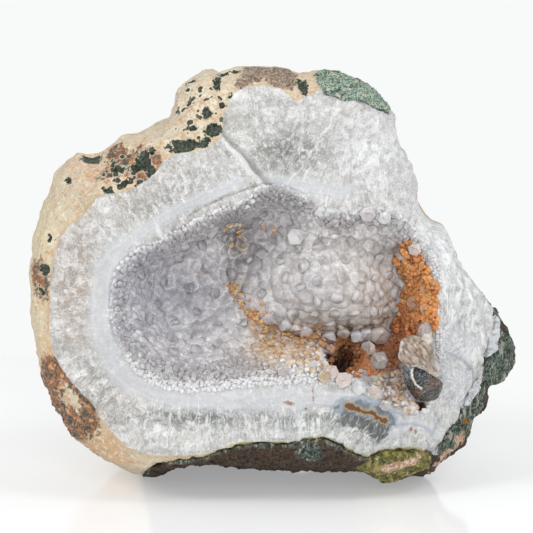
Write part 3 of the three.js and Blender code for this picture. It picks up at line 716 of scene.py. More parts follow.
# The quartz laps over the rock at the lower right.
top = line_height(HOST_ROCK_LINE, rock_x) - rock_z
lapped = ease(rock_x, 43, 46) * (1 - ease(rock_y, -5, -2)) * ease(-top, -1.5, 1.5)
store(
    rock, top=top, lapped=lapped,
    olive=out_of_ovals(OLIVE_LUMP, rock_spots) + 6 * (rock_y > -8),
    pink=out_of_ovals(PINK_GRAINS, rock_spots),
    ochre=out_of_ovals(OCHRE_SPOT, rock_spots),
    green=out_of_ovals(GREEN_CLAY, rock_spots),
    film=washed(rock_rest, (190, 192, 194), [(58.3, 34.3, 2, 2.8, (206, 186, 168), 0.9)]),
)

lava = Finish("dark basalt", Roughness=0.85, IOR=1.5)
grain = lava.mottle(0.9, 6)
uneven = lava.swing(lava.mottle(1.8, 5), 4.0)
stretch = {"Vector": lava.place, "Rotation": (0, 0.2, 0), "Scale": (1, 1, 0.3)}
upright = lava.node("Mapping", stretch).outputs[0]
green_clay = lava.layered(
    (30, 40, 36),
    (grain, 0.42, 0.6, 1.0, (92, 108, 98)),
    (lava.mottle(1.1, 4, upright, 0.9), 0.52, 0.62, 0.8, (166, 160, 144)),
    (lava.mottle(4.0, 3), 0.54, 0.66, 0.6, (22, 30, 26)),
)
olive_colour = lava.layered(
    (86, 84, 42),
    (lava.mottle(1.6, 5), 0.4, 0.62, 1.0, (148, 138, 78)),
    (lava.mottle(1.5, 4), 0.56, 0.62, 1.0, (34, 40, 32)),
    (lava.mottle(2.2, 4), 0.6, 0.66, 0.8, (186, 168, 140)),
)
pink_colour = lava.layered((152, 120, 98), (grain, 0.4, 0.62, 1.0, (206, 184, 162)))
film_colour = lava.layered(
    lava.stored("film", "Color"),
    (lava.mottle(0.5, 3), 0.53, 0.66, 0.8, (226, 227, 228)),
    (lava.mottle(1.0, 4, None, 0.8), 0.48, 0.36, 0.7, (120, 127, 131)),
)
basalt_colour = lava.layered(
    (30, 23, 17),
    (grain, 0.4, 0.62, 1.0, (80, 62, 47)),
    (lava.mottle(3.5, 4), 0.48, 0.66, 0.75, (60, 42, 31)),
    (lava.mottle(0.6, 2), 0.66, 0.74, 0.6, (150, 134, 112)),
    (lava.plus("top", uneven), 1.3, 0.4, 0.85, green_clay),
    (lava.plus("green", uneven), 0.8, -0.2, 0.95, green_clay),
    (lava.plus("olive", uneven), 0.4, -0.4, 1.0, olive_colour),
    (lava.plus("pink", lava.times(uneven, 1.6)), 0.3, -0.1, 1.0, pink_colour),
    (lava.plus("ochre", lava.times(uneven, 0.5)), 0.2, -0.2, 1.0, (140, 98, 44)),
    (lava.plus("lapped", lava.times(uneven, 0.25)), 0.45, 0.55, 1.0, film_colour),
)
lava.raise_by(grain, 0.4, 0.8)
rock.data.materials.append(lava.paint(basalt_colour))
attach(rock, "root")
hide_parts("basalt_matrix")


# ----------------------------------------------------------------------
# The green crust: a chip of weathered, clay-green lava left on the top right corner of the stone.
# It is sugary, and pocked all over.
# ----------------------------------------------------------------------
CRUST_GRAIN = 0.45
crust = even_copy("green_basalt_crust", "green_crust", CRUST_GRAIN, 1)
crust_rest, crust_out = places(crust), facings(crust)
sunk = ease(crust_rest[:, 1], -14, -6) * ease(ripple(crust_rest, 7, 31), -0.05, 0.3)
crumbs = 0.5 * ripple(crust_rest, 3.0, 8) + 0.7 * chips(crust_rest, 1.9) + 0.5 * chips(crust_rest, 1.0)
put(crust, crust_rest + crust_out * (PROUD - 1.5 * sunk + crumbs)[:, None])
clay = Finish("green clay", Roughness=0.8, IOR=1.5)
powder = clay.mottle(0.5, 4)
clay_colour = clay.layered(
    (62, 84, 70),
    (powder, 0.38, 0.64, 1.0, (168, 188, 172)),
    (clay.mottle(2.6, 5), 0.46, 0.36, 0.85, (46, 62, 50)),
    (clay.mottle(1.6, 5), 0.56, 0.62, 0.8, (196, 184, 164)),
)
clay.raise_by(powder, 0.2, 0.6)
crust.data.materials.append(clay.paint(clay_colour))
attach(crust, "root")
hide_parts("green_basalt_crust")


# ----------------------------------------------------------------------
# The druse: quartz points grown side by side from the wall into the hollow. They are small and
# lilac-grey in the left bowl, blunt, clear and several millimetres wide on the boss, and white sugar
# along the lip.
# ----------------------------------------------------------------------
BOSS = (16, 61, 19, 17)  # middle x and z, half width and half height
ORANGE_WALL = [
    [36.9, 71.4], [39.6, 72], [43.1, 65.5], [46.5, 57.5], [48.2, 53], [47, 47], [45, 43], [40, 40],
    [37.5, 36], [36, 33.4], [32, 32], [29, 33], [29.5, 36], [33, 42], [35.5, 46], [37.2, 51.5], [37.6, 57],
    [36.3, 65.5],
]
ORANGE_CAVE = [
    [34, 43], [28.8, 42.6], [22.4, 42.6], [17.9, 42], [13.5, 40.5], [15, 36.6], [19.5, 34.6], [25.3, 33.4],
    [30, 31],
]
CALCITE_FOOT = [
    [35, 40], [35.6, 44], [38.5, 46], [40.5, 50], [44, 50], [46, 46], [45.5, 40], [48, 34.5], [49, 31],
    [47.5, 26.5], [41, 25.4], [37.5, 29], [36, 33],
]
ORANGE_CREASE = [[-11.8, 57.5], [-8.7, 53.5], [-5.2, 49.4], [0.5, 44.8], [7.7, 41.6], [16.3, 40]]
# Where loose crumbs of zeolite lie, and where the quartz is fine and stained honey, as ovals.
CRUMB_SPOTS = [
    [-10, 69, 4, 8, 10], [-13.5, 78, 4, 2, 0], [4, 42.5, 13, 5, -22], [0, 73.5, 2, 1.6, 0],
    [-1.6, 82.5, 2, 1, 0], [8.5, 80.8, 2, 0.8, 0], [20, 43, 6, 2.5, 0], [-3, 52, 3, 5, -30],
]
HONEY_FLOOR = [[5, 41, 11, 4.6, -18], [15, 41, 5, 3, 0], [35, 29, 7, 4.4, -30]]
# Where rust has crept in between the crystals, as soft patches, each with its strength.
RUSTY_SEAMS = [
    (4, 42, 13, 6, 1.0), (22, 41, 12, 6, 0.9), (-22, 62, 6, 4, 0.5), (-10, 70, 5, 8, 0.5),
    (33, 50, 6, 14, 0.6), (35, 29, 9, 7, 1.0),
]


def new_piece(name, points, faces):
    """A piece of the scene from its points and faces."""
    mesh = bpy.data.meshes.new(name)
    mesh.from_pydata(points, [], faces)
    return linked(name, mesh)


def crystal_shape(name, corners, shoulder, peak, lean, ridge=0.12, worn=0.0):
    """One crystal, a unit in radius: an uneven six-sided column with a six-sided point. Its edges can be
    worn round, by a share of its size, and the worn strips are marked."""
    turns = [math.radians(60 * i + 9 * math.sin(7.1 * i + shoulder * 9)) for i in range(6)]
    ring = [(out * math.cos(turn), out * math.sin(turn)) for turn, out in zip(turns, corners)]
    points = [(0.86 * x, 0.86 * y, -0.5) for x, y in ring]
    points += [(*corner, shoulder + (0.16 if i % 2 else -0.1)) for i, corner in enumerate(ring)]
    points += [(lean, -0.5 * lean, peak), (lean + ridge, lean, peak - 0.03)]
    faces = [(i, (i + 1) % 6, 6 + (i + 1) % 6, 6 + i) for i in range(6)] + [(5, 4, 3, 2, 1, 0)]
    tops = [12, 12, 13, 13, 13, 12]
    for i, top in enumerate(tops):
        faces.append((6 + i, 6 + (i + 1) % 6, top))
        if tops[(i + 1) % 6] != top:
            faces.append((6 + (i + 1) % 6, tops[(i + 1) % 6], top))
    shape = new_piece(name, points, faces)
    if worn:
        with reshaped(shape.data) as form:
            strip = form.faces.layers.float.new("worn")
            upper = [edge for edge in form.edges if min(vert.co.z for vert in edge.verts) > -0.4]
            cut = {"offset": worn, "segments": 1, "affect": "EDGES", "clamp_overlap": True}
            made = bmesh.ops.bevel(form, geom=upper, **cut)
            for face in form.faces:
                face.smooth = True
            for face in made["faces"]:
                middle = face.calc_center_median()
                face[strip] = 1.0 if abs(middle.z - shoulder) < 0.3 and middle.xy.length > 0.7 else 0.15
    store(shape, height=(read(shape.data.vertices, "co", 3)[:, 2] + 0.5) / (peak + 0.5))
    return shape


def growth_tree(name, shapes, material):
    """Geometry Nodes that strew crystals over a rock surface, each standing on it with its own tilt."""
    tree = bpy.data.node_groups.new(name, "GeometryNodeTree")
    floats = [(label, "Float") for label in ("Spacing", "Smallest", "Largest", "Tilt")]
    for label, kind in [("Rock", "Geometry"), *floats, ("Seed", "Int")]:
        tree.interface.new_socket(label, in_out="INPUT", socket_type="NodeSocket" + kind)
    tree.interface.new_socket("Crystals", in_out="OUTPUT", socket_type="NodeSocketGeometry")
    node = partial(add_node, tree)

    def chance(kind, first, low, high, seed):
        """A random value for every crystal. The node's sockets for this kind of value start at first."""
        inputs = {first: low, first + 1: high, "Seed": seed}
        return node("FunctionNodeRandomValue", inputs, data_type=kind).outputs[first // 2]

    def reckon(operation, a, b):
        return node("ShaderNodeMath", {0: a, 1: b}, operation=operation).outputs[0]

    given = node("NodeGroupInput").outputs
    seeds = [reckon("ADD", given["Seed"], further) for further in (11.0, 23.0, 37.0)]
    strewn = node(
        "GeometryNodeDistributePointsOnFaces",
        {"Mesh": given["Rock"], "Distance Min": given["Spacing"], "Density Max": 6e6, "Seed": given["Seed"]},
        distribute_method="POISSON",
    ).outputs
    tilt = node("ShaderNodeCombineXYZ", {0: given["Tilt"], 1: given["Tilt"], 2: math.pi}).outputs[0]
    back = node("ShaderNodeVectorMath", {0: tilt, 1: (-1, -1, -1)}, operation="MULTIPLY").outputs[0]
    turn = chance("FLOAT_VECTOR", 0, back, tilt, given["Seed"])
    turn = node("FunctionNodeEulerToRotation", {0: turn}).outputs[0]
    inputs = {"Rotation": strewn["Rotation"], "Rotate By": turn}
    stand = node("FunctionNodeRotateRotation", inputs, rotation_space="LOCAL").outputs[0]
    size = chance("FLOAT", 2, given["Smallest"], given["Largest"], seeds[0])
    local = node("GeometryNodeInputNamedAttribute", {"Name": "size"}, data_type="FLOAT").outputs["Attribute"]
    joined = node("GeometryNodeJoinGeometry")
    for shape in reversed(shapes):
        inputs = {"As Instance": True, "Object": shape}
        info = node("GeometryNodeObjectInfo", inputs, transform_space="ORIGINAL")
        tree.links.new(info.outputs["Geometry"], joined.inputs[0])
    placed = node(
        "GeometryNodeInstanceOnPoints",
        {
            "Points": strewn["Points"], "Instance": joined.outputs[0], "Pick Instance": True,
            "Instance Index": chance("INT", 4, 0, len(shapes) - 1, seeds[1]), "Rotation": stand,
            "Scale": reckon("MULTIPLY", size, local),
        },
    )
    marked = node(
        "GeometryNodeStoreNamedAttribute",
        {"Geometry": placed.outputs[0], "Name": "luck", "Value": chance("FLOAT", 2, 0.0, 1.0, seeds[2])},
        data_type="FLOAT", domain="INSTANCE",
    )
    real = node("GeometryNodeRealizeInstances", {0: marked.outputs[0]})
    coated = node("GeometryNodeSetMaterial", {"Geometry": real.outputs[0], "Material": material})
    node("NodeGroupOutput", {"Crystals": coated.outputs[0]})
    return tree


wall_faces = [np.array(face.vertices) for face in wall.data.polygons]


def ground_where(name, keep, lift, sizes=None):
    """The part of the wall that crystals grow on, lifted off it, with their relative size at every point."""
    faces = [face for face in wall_faces if keep[face].all()]
    used = np.unique(np.concatenate(faces))
    renamed = np.zeros(len(keep), int)
    renamed[used] = np.arange(len(used))
    points = (wall_now + wall_out * np.broadcast_to(lift, len(keep))[:, None])[used] * MM
    ground = new_piece(name, points.tolist(), [renamed[face].tolist() for face in faces])
    store(ground, size=np.ones(len(used)) if sizes is None else sizes[used])
    return ground


def grown(name, keep, lift, tree, seed, spacing, smallest, largest, tilt):
    """Grows one stand of crystals on the wall and leaves it as a plain mesh. All but the tilt are in mm."""
    ground = ground_where(name, keep, lift)
    grow = ground.modifiers.new("grow", "NODES")
    grow.node_group = tree
    inputs = {"Spacing": spacing * MM, "Smallest": smallest * MM, "Largest": largest * MM}
    inputs.update({"Tilt": tilt, "Seed": seed})
    for item in tree.interface.items_tree:
        if item.name in inputs:
            grow[item.identifier] = inputs[item.name]
    return settled(ground)


def tinted(piece, colour, washes, spread):
    """Colours every crystal by its place, each a little lighter or darker than its neighbours."""
    points = places(piece)
    luck = read(piece.data.attributes["luck"].data, "value")
    colours = washed(points, colour, washes)
    colours[:, :3] *= (1 + spread * (2 * luck - 1))[:, None]
    store(piece, tint=np.clip(colours, 0, 0.97))
    put(piece, points)


def grown_together(name, keep, lift, grain, seed):
    """A crust of quartz crystals grown into one another: each is a low, tilted, six-sided point, and the
    highest one shows. Every point keeps how far it is inside its own crystal and from its middle."""
    piece = ground_where(name, keep, lift, grain)
    finer = piece.modifiers.new("finer", "SUBSURF")
    finer.subdivision_type, finer.levels, finer.render_levels = "SIMPLE", 1, 1
    settled(piece)
    rest, out = places(piece), facings(piece)
    width = read(piece.data.attributes["size"].data, "value")
    chance = np.random.default_rng(seed)
    seats, spots = [], np.empty((0, 3))
    for index in chance.permutation(len(rest)):
        if len(seats) == 0 or np.min(((spots - rest[index]) ** 2).sum(1)) > width[index] ** 2:
            seats.append(index)
            spots = np.vstack([spots, rest[index]])
    seats = np.array(seats)
    tree = kdtree.KDTree(len(seats))
    for number, spot in enumerate(spots):
        tree.insert(spot, number)
    tree.balance()
    near = np.array([[hit[1] for hit in tree.find_n(point, 6)] for point in rest.tolist()])
    luck = chance.random((len(seats), 5))
    best, second = np.full(len(rest), -9.0), np.full(len(rest), -9.0)
    owner, from_middle = np.zeros(len(rest), int), np.zeros(len(rest))
    for column in near.T:
        away, up, broad = rest - rest[seats[column]], out[seats[column]], width[seats[column]]
        side = np.cross(up, (0.3, 0.2, 0.9))
        side /= np.linalg.norm(side, axis=1)[:, None]
        x, y = (away * side).sum(1), (away * np.cross(up, side)).sum(1)
        turn = 2 * np.pi * luck[column, 0]
        sides = [turn + k for k in np.pi / 3 * np.arange(3)]
        six = np.max([np.abs(x * np.cos(side_turn) + y * np.sin(side_turn)) for side_turn in sides], 0)
        height = broad * (0.21 * luck[column, 1] - 0.04)
        height = height - 0.5 * np.maximum(six - 0.18 * broad, 0) - 0.12 * six
        height += 0.36 * ((luck[column, 2] - 0.5) * x + (luck[column, 3] - 0.5) * y)
        higher = height > best
        second = np.where(higher, best, np.maximum(second, height))
        best, owner = np.where(higher, height, best), np.where(higher, column, owner)
        from_middle = np.where(higher, six / broad, from_middle)
    put(piece, rest + out * best[:, None])
    piece.data.shade_smooth()
    store(piece, luck=luck[owner, 4], inside=best - second, ring=from_middle)
    return piece


def set_crystals(name, stones, shape, material):
    """Sets single crystals one by one, each as x, z, size, how far out it stands, its lean to the right and
    up, and its colour. Each grows from the foremost place of the hollow's floor at its x and z."""
    body = read(shape.data.vertices, "co", 3)
    floor = wall_now[in_hollow | (np.abs(lip) < 2)]
    points, faces = [], []
    for i, (x, z, size, out, right, up, _) in enumerate(stones):
        close = floor[np.hypot(floor[:, 0] - x, floor[:, 2] - z) < 1.5]
        root = close[np.argmin(close[:, 1])]
        axis = Vector((right, -1, up)).normalized()
        turn = axis.to_track_quat("Z", "Y").to_matrix() @ Matrix.Rotation(2.4 * i, 3, "Z")
        points.append(root + np.array(axis) * out + size * body @ np.array(turn).T)
        faces += [[i * len(body) + index for index in face.vertices] for face in shape.data.polygons]
    piece = new_piece(name, (np.vstack(points) * MM).tolist(), faces)
    piece.data.shade_smooth()
    piece.data.materials.append(material)
    height, worn = (read(shape.data.attributes[layer].data, "value") for layer in ("height", "worn"))
    store(
        piece, tint=np.repeat([tone(*stone[-1]) for stone in stones], len(body), 0),
        height=np.tile(height, len(stones)), luck=np.full(len(stones) * len(body), 0.95),
    )
    marks = piece.data.attributes.new("worn", "FLOAT", "FACE")
    marks.data.foreach_set("value", np.tile(worn, len(stones)))
    return piece


# How far out the six corners of a crystal are, for four habits.
BLUNT, LEANING = [1.0, 0.9, 1.05, 0.95, 1.0, 0.86], [0.9, 1.05, 0.85, 1.0, 0.92, 1.1]
BROAD, SLIM = [1.1, 0.85, 1.0, 1.08, 0.88, 1.0], [0.75, 0.7, 0.8, 0.72, 0.7, 0.78]
crystal_shapes = [
    crystal_shape("blunt point", BLUNT, 0.35, 0.95, 0.05),
    crystal_shape("leaning point", LEANING, 0.2, 0.8, -0.16),
    crystal_shape("broad point", BROAD, 0.45, 0.85, 0.12),
    crystal_shape("slim point", SLIM, 0.7, 1.35, 0.04),
]
worn_shapes = [
    crystal_shape("worn blunt point", BLUNT, 0.2, 0.56, 0.1, 0.35, 0.18),
    crystal_shape("worn leaning point", LEANING, 0.1, 0.46, -0.3, 0.4, 0.18),
    crystal_shape("worn broad point", BROAD, 0.25, 0.58, 0.25, 0.3, 0.18),
]
# How light spreads inside all the quartz.
MILKINESS = {"Subsurface_Weight": 0.3, "Subsurface_Radius": (1, 1, 1), "Subsurface_Scale": 0.0015}


def clear_finish(name, clearness, roughness, foot):
    """Quartz that light passes through, with veils and growth rings inside. It is paler at the foot, as its
    own milkiness and as painted light that lifts the shade between crystals, and its worn edges are painted
    pale as a painted highlight."""
    glass = Finish(name, Roughness=roughness, IOR=1.54, Transmission_Weight=clearness, **MILKINESS)
    veil = glass.mottle(1.6, 4)
    glass.raise_by(glass.mottle(0.5, 2), 0.08, 0.4)
    rings = glass.waves(glass.plus("height", glass.times(veil, 0.5)), 26.0)
    colour = glass.layered(
        glass.stored("tint", "Color"),
        # Paler at the foot: the crystals' own milkiness, and painted light that lifts the shade between them.
        ("height", 0.8, 0.3, foot, (250, 249, 250)),
        (veil, 0.45, 0.7, 0.3, (240, 240, 242)),
        (rings, 0.2, 1.0, 0.16, (244, 244, 246)),
        # A painted highlight on the worn strips along the edges.
        (glass.times("worn", glass.slope("luck", 0.6, 0.95, 0.05, 0.45)), (250, 250, 250)),
    )
    return glass.paint(colour)


clear_quartz = clear_finish("clear quartz", 0.28, 0.22, 0.45)
single_quartz = clear_finish("single quartz", 0.35, 0.18, 0.15)
white_quartz = clear_finish("white quartz", 0.1, 0.35, 0.6)

milk = Finish("milky quartz", Roughness=0.26, IOR=1.54, **MILKINESS)
haze = milk.mottle(2.2, 4)
speck = milk.mottle(0.5, 3)
rings = milk.slope(milk.waves(milk.plus("ring", milk.times(haze, 0.25)), 60.0), 0.3, 1.0, 0.0, 0.25)
# The outlines are pale lines just inside each crystal's edge: a painted highlight along its rim.
outline = milk.slope(milk.off(milk.frayed("inside", speck, 0.12), 0.3), 0.2, 0.04, 0.0, 0.55)
seam = milk.slope(milk.frayed("inside", haze, 0.3), 0.5, 0.12)
seam_colour = milk.layered((150, 92, 42), (speck, 0.42, 0.6, 1.0, (214, 170, 116)))
milky_colour = milk.layered(
    milk.stored("tint", "Color"),
    (haze, 0.44, 0.66, 0.35, (226, 226, 228)),
    (milk.times(rings, milk.slope("luck", 0.4, 0.8)), (236, 236, 238)),
    (milk.times(outline, milk.slope("luck", 0.1, 0.9)), (238, 238, 239)),
    # Painted shade: darker grey where two crystals meet, in the valleys between them.
    ("inside", 0.1, 0.0, 0.15, (126, 120, 122)),
    (milk.times(seam, milk.slope("rust", 0.25, 0.75, 0.0, 0.9)), seam_colour),
    (speck, 0.56, 0.7, 0.55, (232, 232, 234)),
    (speck, 0.46, 0.32, 0.35, (128, 123, 124)),
    (milk.mottle(1.1, 4), 0.46, 0.34, 0.3, (140, 135, 137)),
)
milk.raise_by(milk.plus(milk.mottle(0.6, 3), milk.times(milk.mottle(1.4, 2), 1.5)), 0.16, 0.7)
DRUSE_GREY = (184, 180, 182)
# The dark grey wash in the cleft left of the boss, at (-11, 69), is painted shade.
DRUSE_WASHES = [
    (-30, 55, 15, 14, (166, 165, 174), 0.9), (-11, 69, 4.5, 12, (98, 94, 95), 0.95),
    (-38, 60, 6, 10, (164, 164, 176), 0.7), (17, 61, 18, 16, (191, 183, 177), 0.9),
    (12, 62, 8, 8, (182, 178, 180), 0.8), (30, 52, 8, 12, (208, 194, 182), 0.7),
    (18, 44, 14, 4, (212, 194, 172), 0.8), (4, 41, 11, 4, (186, 156, 116), 0.9),
    (32, 29, 5, 4, (96, 66, 46), 0.95), (38.5, 27.5, 5, 4, (196, 166, 132), 0.9),
    (5, 84, 9, 3, (150, 148, 150), 0.8),
]
points_tree = growth_tree("quartz growth", crystal_shapes, clear_quartz)
worn_tree = growth_tree("worn quartz growth", worn_shapes, clear_quartz)
sugar_tree = growth_tree("sugar quartz growth", crystal_shapes, white_quartz)
# How far every point of the wall is outside the zeolite and outside the foot of the calcite, and
# how much it belongs to the boss.
zeolite = np.minimum(outside(ORANGE_WALL, wall_spots)[0], outside(ORANGE_CAVE, wall_spots)[0])
on_calcite = np.where(wall_now[:, 1] < -14.5, outside(CALCITE_FOOT, wall_spots)[0], FAR)
on_boss = 1 - ease(np.hypot((wall_x - BOSS[0]) / BOSS[2], (wall_z - BOSS[1]) / BOSS[3]), 0.75, 1.2)
on_boss = np.maximum(on_boss, ease(above_boss, 0.15, 0.5))
lined = in_hollow & (lip < 0.5) & (zeolite > 0.5) & (on_calcite > 1.0)
well_in = ease(-lip, 0, 4) * ease(zeolite, 0.5, 2.5) * ease(on_calcite, 1, 3)
grain_width = (2.9 + 0.5 * on_boss - 1.0 * (1 - ease(-lip, 2, 7))) * (1 + 0.2 * ripple(wall_rest, 7, 27))
on_honey = 1 - ease(out_of_ovals(HONEY_FLOOR, wall_spots), -1, 2)
grain_width -= (grain_width - 2.0) * on_honey
crust_of_quartz = grown_together("quartz_crust", lined, 2.4 * well_in - 0.5, grain_width, 2)
crust_of_quartz.data.materials.append(milk.paint(milky_colour))
grown_rest = places(crust_of_quartz)
seam_line = np.exp(-((from_curve(ORANGE_CREASE, grown_rest[:, [0, 2]]) / 3.0) ** 2))
store(crust_of_quartz, rust=np.maximum(seam_line, patches(grown_rest, RUSTY_SEAMS)))
fringed = lined & (lip > -4.5 + 3 * ripple(wall_rest, 4.5, 28)) & (on_honey < 0.4)
in_bowl = lined & (lip < -4) & (on_boss < 0.3) & (on_honey < 0.1)
# Each stand: its name, where it grows, how far off the wall, its tree and seed, then its crystals' spacing,
# smallest and largest radius, and tilt.
druse = grown("small_points", fringed, 0.9, points_tree, 3, 1.3, 0.6, 1.3, 0.6)
bowl = grown("bowl_points", in_bowl, 1.9, worn_tree, 4, 7.0, 1.2, 2.3, 0.9)
boss = grown("boss_points", lined & (lip < -3) & (on_boss > 0.3), 1.8, worn_tree, 8, 5.6, 1.2, 2.5, 0.9)
# Single stones are set one by one, as set_crystals takes them.
WHITE, LILAC, SMOKY = (232, 231, 233), (224, 216, 219), (198, 188, 184)
ROSY, HONEY, TAN = (230, 213, 204), (204, 150, 100), (200, 170, 126)
SINGLE_POINTS = [
    [4.8, 71.8, 2.9, 3.6, 0.1, 0.2, (244, 243, 244)], [30.4, 44.6, 3.3, 5.5, 0.2, -0.5, ROSY],
    [23.4, 44, 2.5, 4.5, 0.1, -0.7, WHITE], [17.5, 43.8, 2.6, 3.5, -0.1, -0.7, LILAC],
    [31.4, 36.6, 3.1, 3, -0.1, 0.3, SMOKY], [29.2, 40, 2.7, 2.4, -0.3, 0.1, ROSY],
    [25.9, 34.6, 1.9, 1.6, 0.1, 0.3, SMOKY], [29.6, 32.4, 1.9, 1.4, 0.1, 0.3, SMOKY],
    [3.1, 77.6, 3.2, 2.2, 0, -0.1, LILAC], [12.5, 43, 2.2, 3, -0.1, -0.4, HONEY],
    [10.2, 39.6, 2.3, 2, 0, 0.2, TAN], [14.5, 37, 2.1, 1.6, 0.1, 0.4, TAN],
    [17, 40.6, 1.7, 2, 0.1, 0, HONEY], [3, 38.4, 1.9, 1.6, 0, 0.3, SMOKY],
    [-1.2, 41, 1.8, 1.6, 0, 0.2, LILAC], [5.2, 42.2, 1.9, 2, 0, 0, SMOKY],
    [27, 41.6, 1.4, 1.4, 0.1, 0, HONEY], [32.4, 27.6, 1.8, 1.4, 0, 0.2, SMOKY],
    [-2.8, 77.2, 2.6, 2, -0.2, 0.1, LILAC], [-4.2, 71.6, 2.8, 2.4, -0.2, 0, LILAC],
    [12.5, 81.8, 2.2, 0.6, 0, -0.7, WHITE], [15, 80.2, 2.4, 0.8, 0.1, -0.8, WHITE],
    [18, 81.3, 2.1, 0.6, 0.1, -0.6, WHITE], [20.6, 81.6, 1.7, 0.6, 0.2, -0.5, WHITE],
    [27.7, 79.2, 2.6, 1.6, 0.1, -0.1, LILAC], [31.5, 77.5, 2.2, 1.4, 0.3, 0, WHITE],
    [11.7, 38.8, 2.4, 1.2, -0.1, 0.5, WHITE], [15.9, 38.1, 2.5, 1.2, 0.1, 0.6, ROSY],
    [20.2, 35.6, 2.6, 1.3, 0, 0.5, ROSY], [24.4, 33.3, 2.5, 1.3, 0.2, 0.5, WHITE],
    [-1.5, 48.6, 2.3, 2.4, -0.1, -0.4, LILAC], [2.6, 46.8, 2.4, 2.6, 0, -0.5, WHITE],
    [6.4, 45.6, 2.3, 2.8, 0, -0.6, ROSY], [9.6, 44.8, 2.5, 3, 0, -0.6, LILAC],
    [20.6, 44.4, 2.3, 3.6, 0.1, -0.7, ROSY], [26.8, 44.8, 2.4, 4.6, 0.2, -0.6, LILAC],
    [28.2, 31.4, 2.5, 1.3, 0.2, 0.4, ROSY], [39.3, 68.7, 2.2, 1.8, -0.2, 0, ROSY],
    [36.8, 66, 2.4, 2, -0.3, 0.1, SMOKY], [35.4, 60, 2.2, 2, -0.3, 0, SMOKY],
    [36.2, 54, 2.0, 1.8, -0.3, -0.1, SMOKY], [42.2, 52.4, 2.6, 2.2, 0.1, 0.1, HONEY],
    [39.6, 52.8, 2.2, 2, -0.2, 0.2, HONEY], [42, 57.5, 1.9, 1.6, 0, 0.2, HONEY],
    [35.4, 29.4, 1.9, 1.6, -0.2, 0, HONEY], [37.6, 27.4, 1.8, 1.6, 0, 0, ROSY],
    [40, 25.6, 1.6, 1.4, 0, 0.2, ROSY], [34.8, 31.6, 1.6, 1.4, -0.3, 0, ROSY],
    [-11.5, 45.5, 2.2, 1.8, 0.2, 0.3, WHITE], [-17.5, 43.5, 2.8, 1.6, 0, 0.1, LILAC],
    [-26.5, 44, 2.8, 1.6, 0, 0.1, LILAC],
]
single = set_crystals("single_points", SINGLE_POINTS, worn_shapes[0], single_quartz)
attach(single, "root")
for piece in (crust_of_quartz, druse, bowl, boss):
    tinted(piece, DRUSE_GREY, DRUSE_WASHES, 0.05)
    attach(piece, "root")
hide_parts("quartz_druse")

# White sugar along the lip: it reaches down the slope in front of the hollow's floor.
slope_reach = 0.6 + 2.0 * (1 - ease(wall_z, 36, 42)) * (1 - ease(wall_x, 18, 26))
slope_reach += 0.8 * ease(wall_x, 34, 40) * ease(wall_z, 34, 44)
slope_reach -= 3.0 * patches(wall_rest, [(34, 26, 5, 4, 1)])
on_lip = (wall_y < 0) & (lip < slope_reach) & (lip > -3.2) & (wall_out[:, 1] < 0.3)
on_lip &= (zeolite > -0.5) & (on_calcite > 0.5)
sugar_crystals = grown("lip_sugar", on_lip, 0.2, sugar_tree, 6, 0.75, 0.35, 0.9, 0.7)
SUGAR_WASHES = [(-38, 58, 8, 14, (196, 196, 204), 0.8), (12, 82, 20, 5, (196, 194, 196), 0.8)]
tinted(sugar_crystals, (222, 220, 221), SUGAR_WASHES, 0.05)
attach(sugar_crystals, "root")

# Fine quartz, stained honey, on the floor on both sides of the cave.
honey = grown("honey_points", lined & (on_honey > 0.4), 1.0, sugar_tree, 14, 1.6, 0.6, 1.25, 0.8)
HONEY_WASHES = [
    (12, 41, 5, 3, (176, 132, 84), 0.9), (2, 38, 7, 2, (206, 194, 184), 0.9),
    (32, 29, 4.5, 3.5, (100, 68, 48), 0.95), (38.5, 27.5, 5, 4, (180, 140, 102), 0.9),
]
tinted(honey, (200, 168, 121), HONEY_WASHES, 0.28)
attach(honey, "root")


# ----------------------------------------------------------------------
# The zeolite: a sugary crust of small orange blocks, stained by iron, down the right wall of the
# hollow and in the cave under the boss, with crumbs of it between the quartz points further left.
# ----------------------------------------------------------------------
block_shapes = [
    crystal_shape("block", [1.0, 0.8, 1.0, 0.85, 1.0, 0.8], 0.5, 0.75, 0.1),
    crystal_shape("thick block", [0.9, 0.95, 0.8, 1.0, 0.9, 0.85], 0.35, 0.55, -0.1),
]
iron = Finish("orange zeolite", Roughness=0.45, IOR=1.5, Subsurface_Weight=0.25, Subsurface_Scale=0.001)
iron.raise_by(iron.mottle(0.3, 2), 0.08, 0.6)
tint = iron.stored("tint", "Color")
paler = iron.node("VectorMath", {0: tint, 1: (1.28, 1.85, 2.9)}, operation="MULTIPLY").outputs[0]
zeolite_colour = iron.layered(tint, (iron.mottle(1.6, 3), 0.46, 0.66, 0.5, paler))
ZEOLITE_ORANGE = (204, 138, 80)
# The near-black wash at the cave, at (20.3, 37.2), is painted shade over the zeolite's own rusty brown.
ZEOLITE_WASHES = [
    (39, 41, 7, 8, (198, 118, 72), 0.95), (33, 46, 3, 8, (176, 112, 74), 0.8),
    (26, 39, 8, 5, (168, 98, 50), 0.95), (20.3, 37.2, 5.2, 4, (60, 24, 8), 0.98),
    (33.5, 35, 6, 7, (184, 126, 92), 0.9), (35, 27, 5, 4, (118, 76, 48), 0.9),
    (0, 46, 14, 8, (212, 162, 106), 0.95), (8, 40.5, 7, 4, (190, 144, 96), 0.9),
    (-9, 68, 8, 14, (214, 182, 140), 0.95), (-32, 50, 8, 7, (206, 178, 150), 0.95),
]
blocks = growth_tree("zeolite growth", block_shapes, iron.paint(zeolite_colour))
stained = in_hollow & (lip < 0.3) & (zeolite < 0.6) & (on_calcite > 0) & (cave > -0.9)
heap = stained & (ripple(wall_rest, 4.5, 21) > 0.05) & (wall_z > 43)
crease = from_curve(ORANGE_CREASE, wall_spots) + 1.3 * ripple(wall_rest, 2.4, 22)
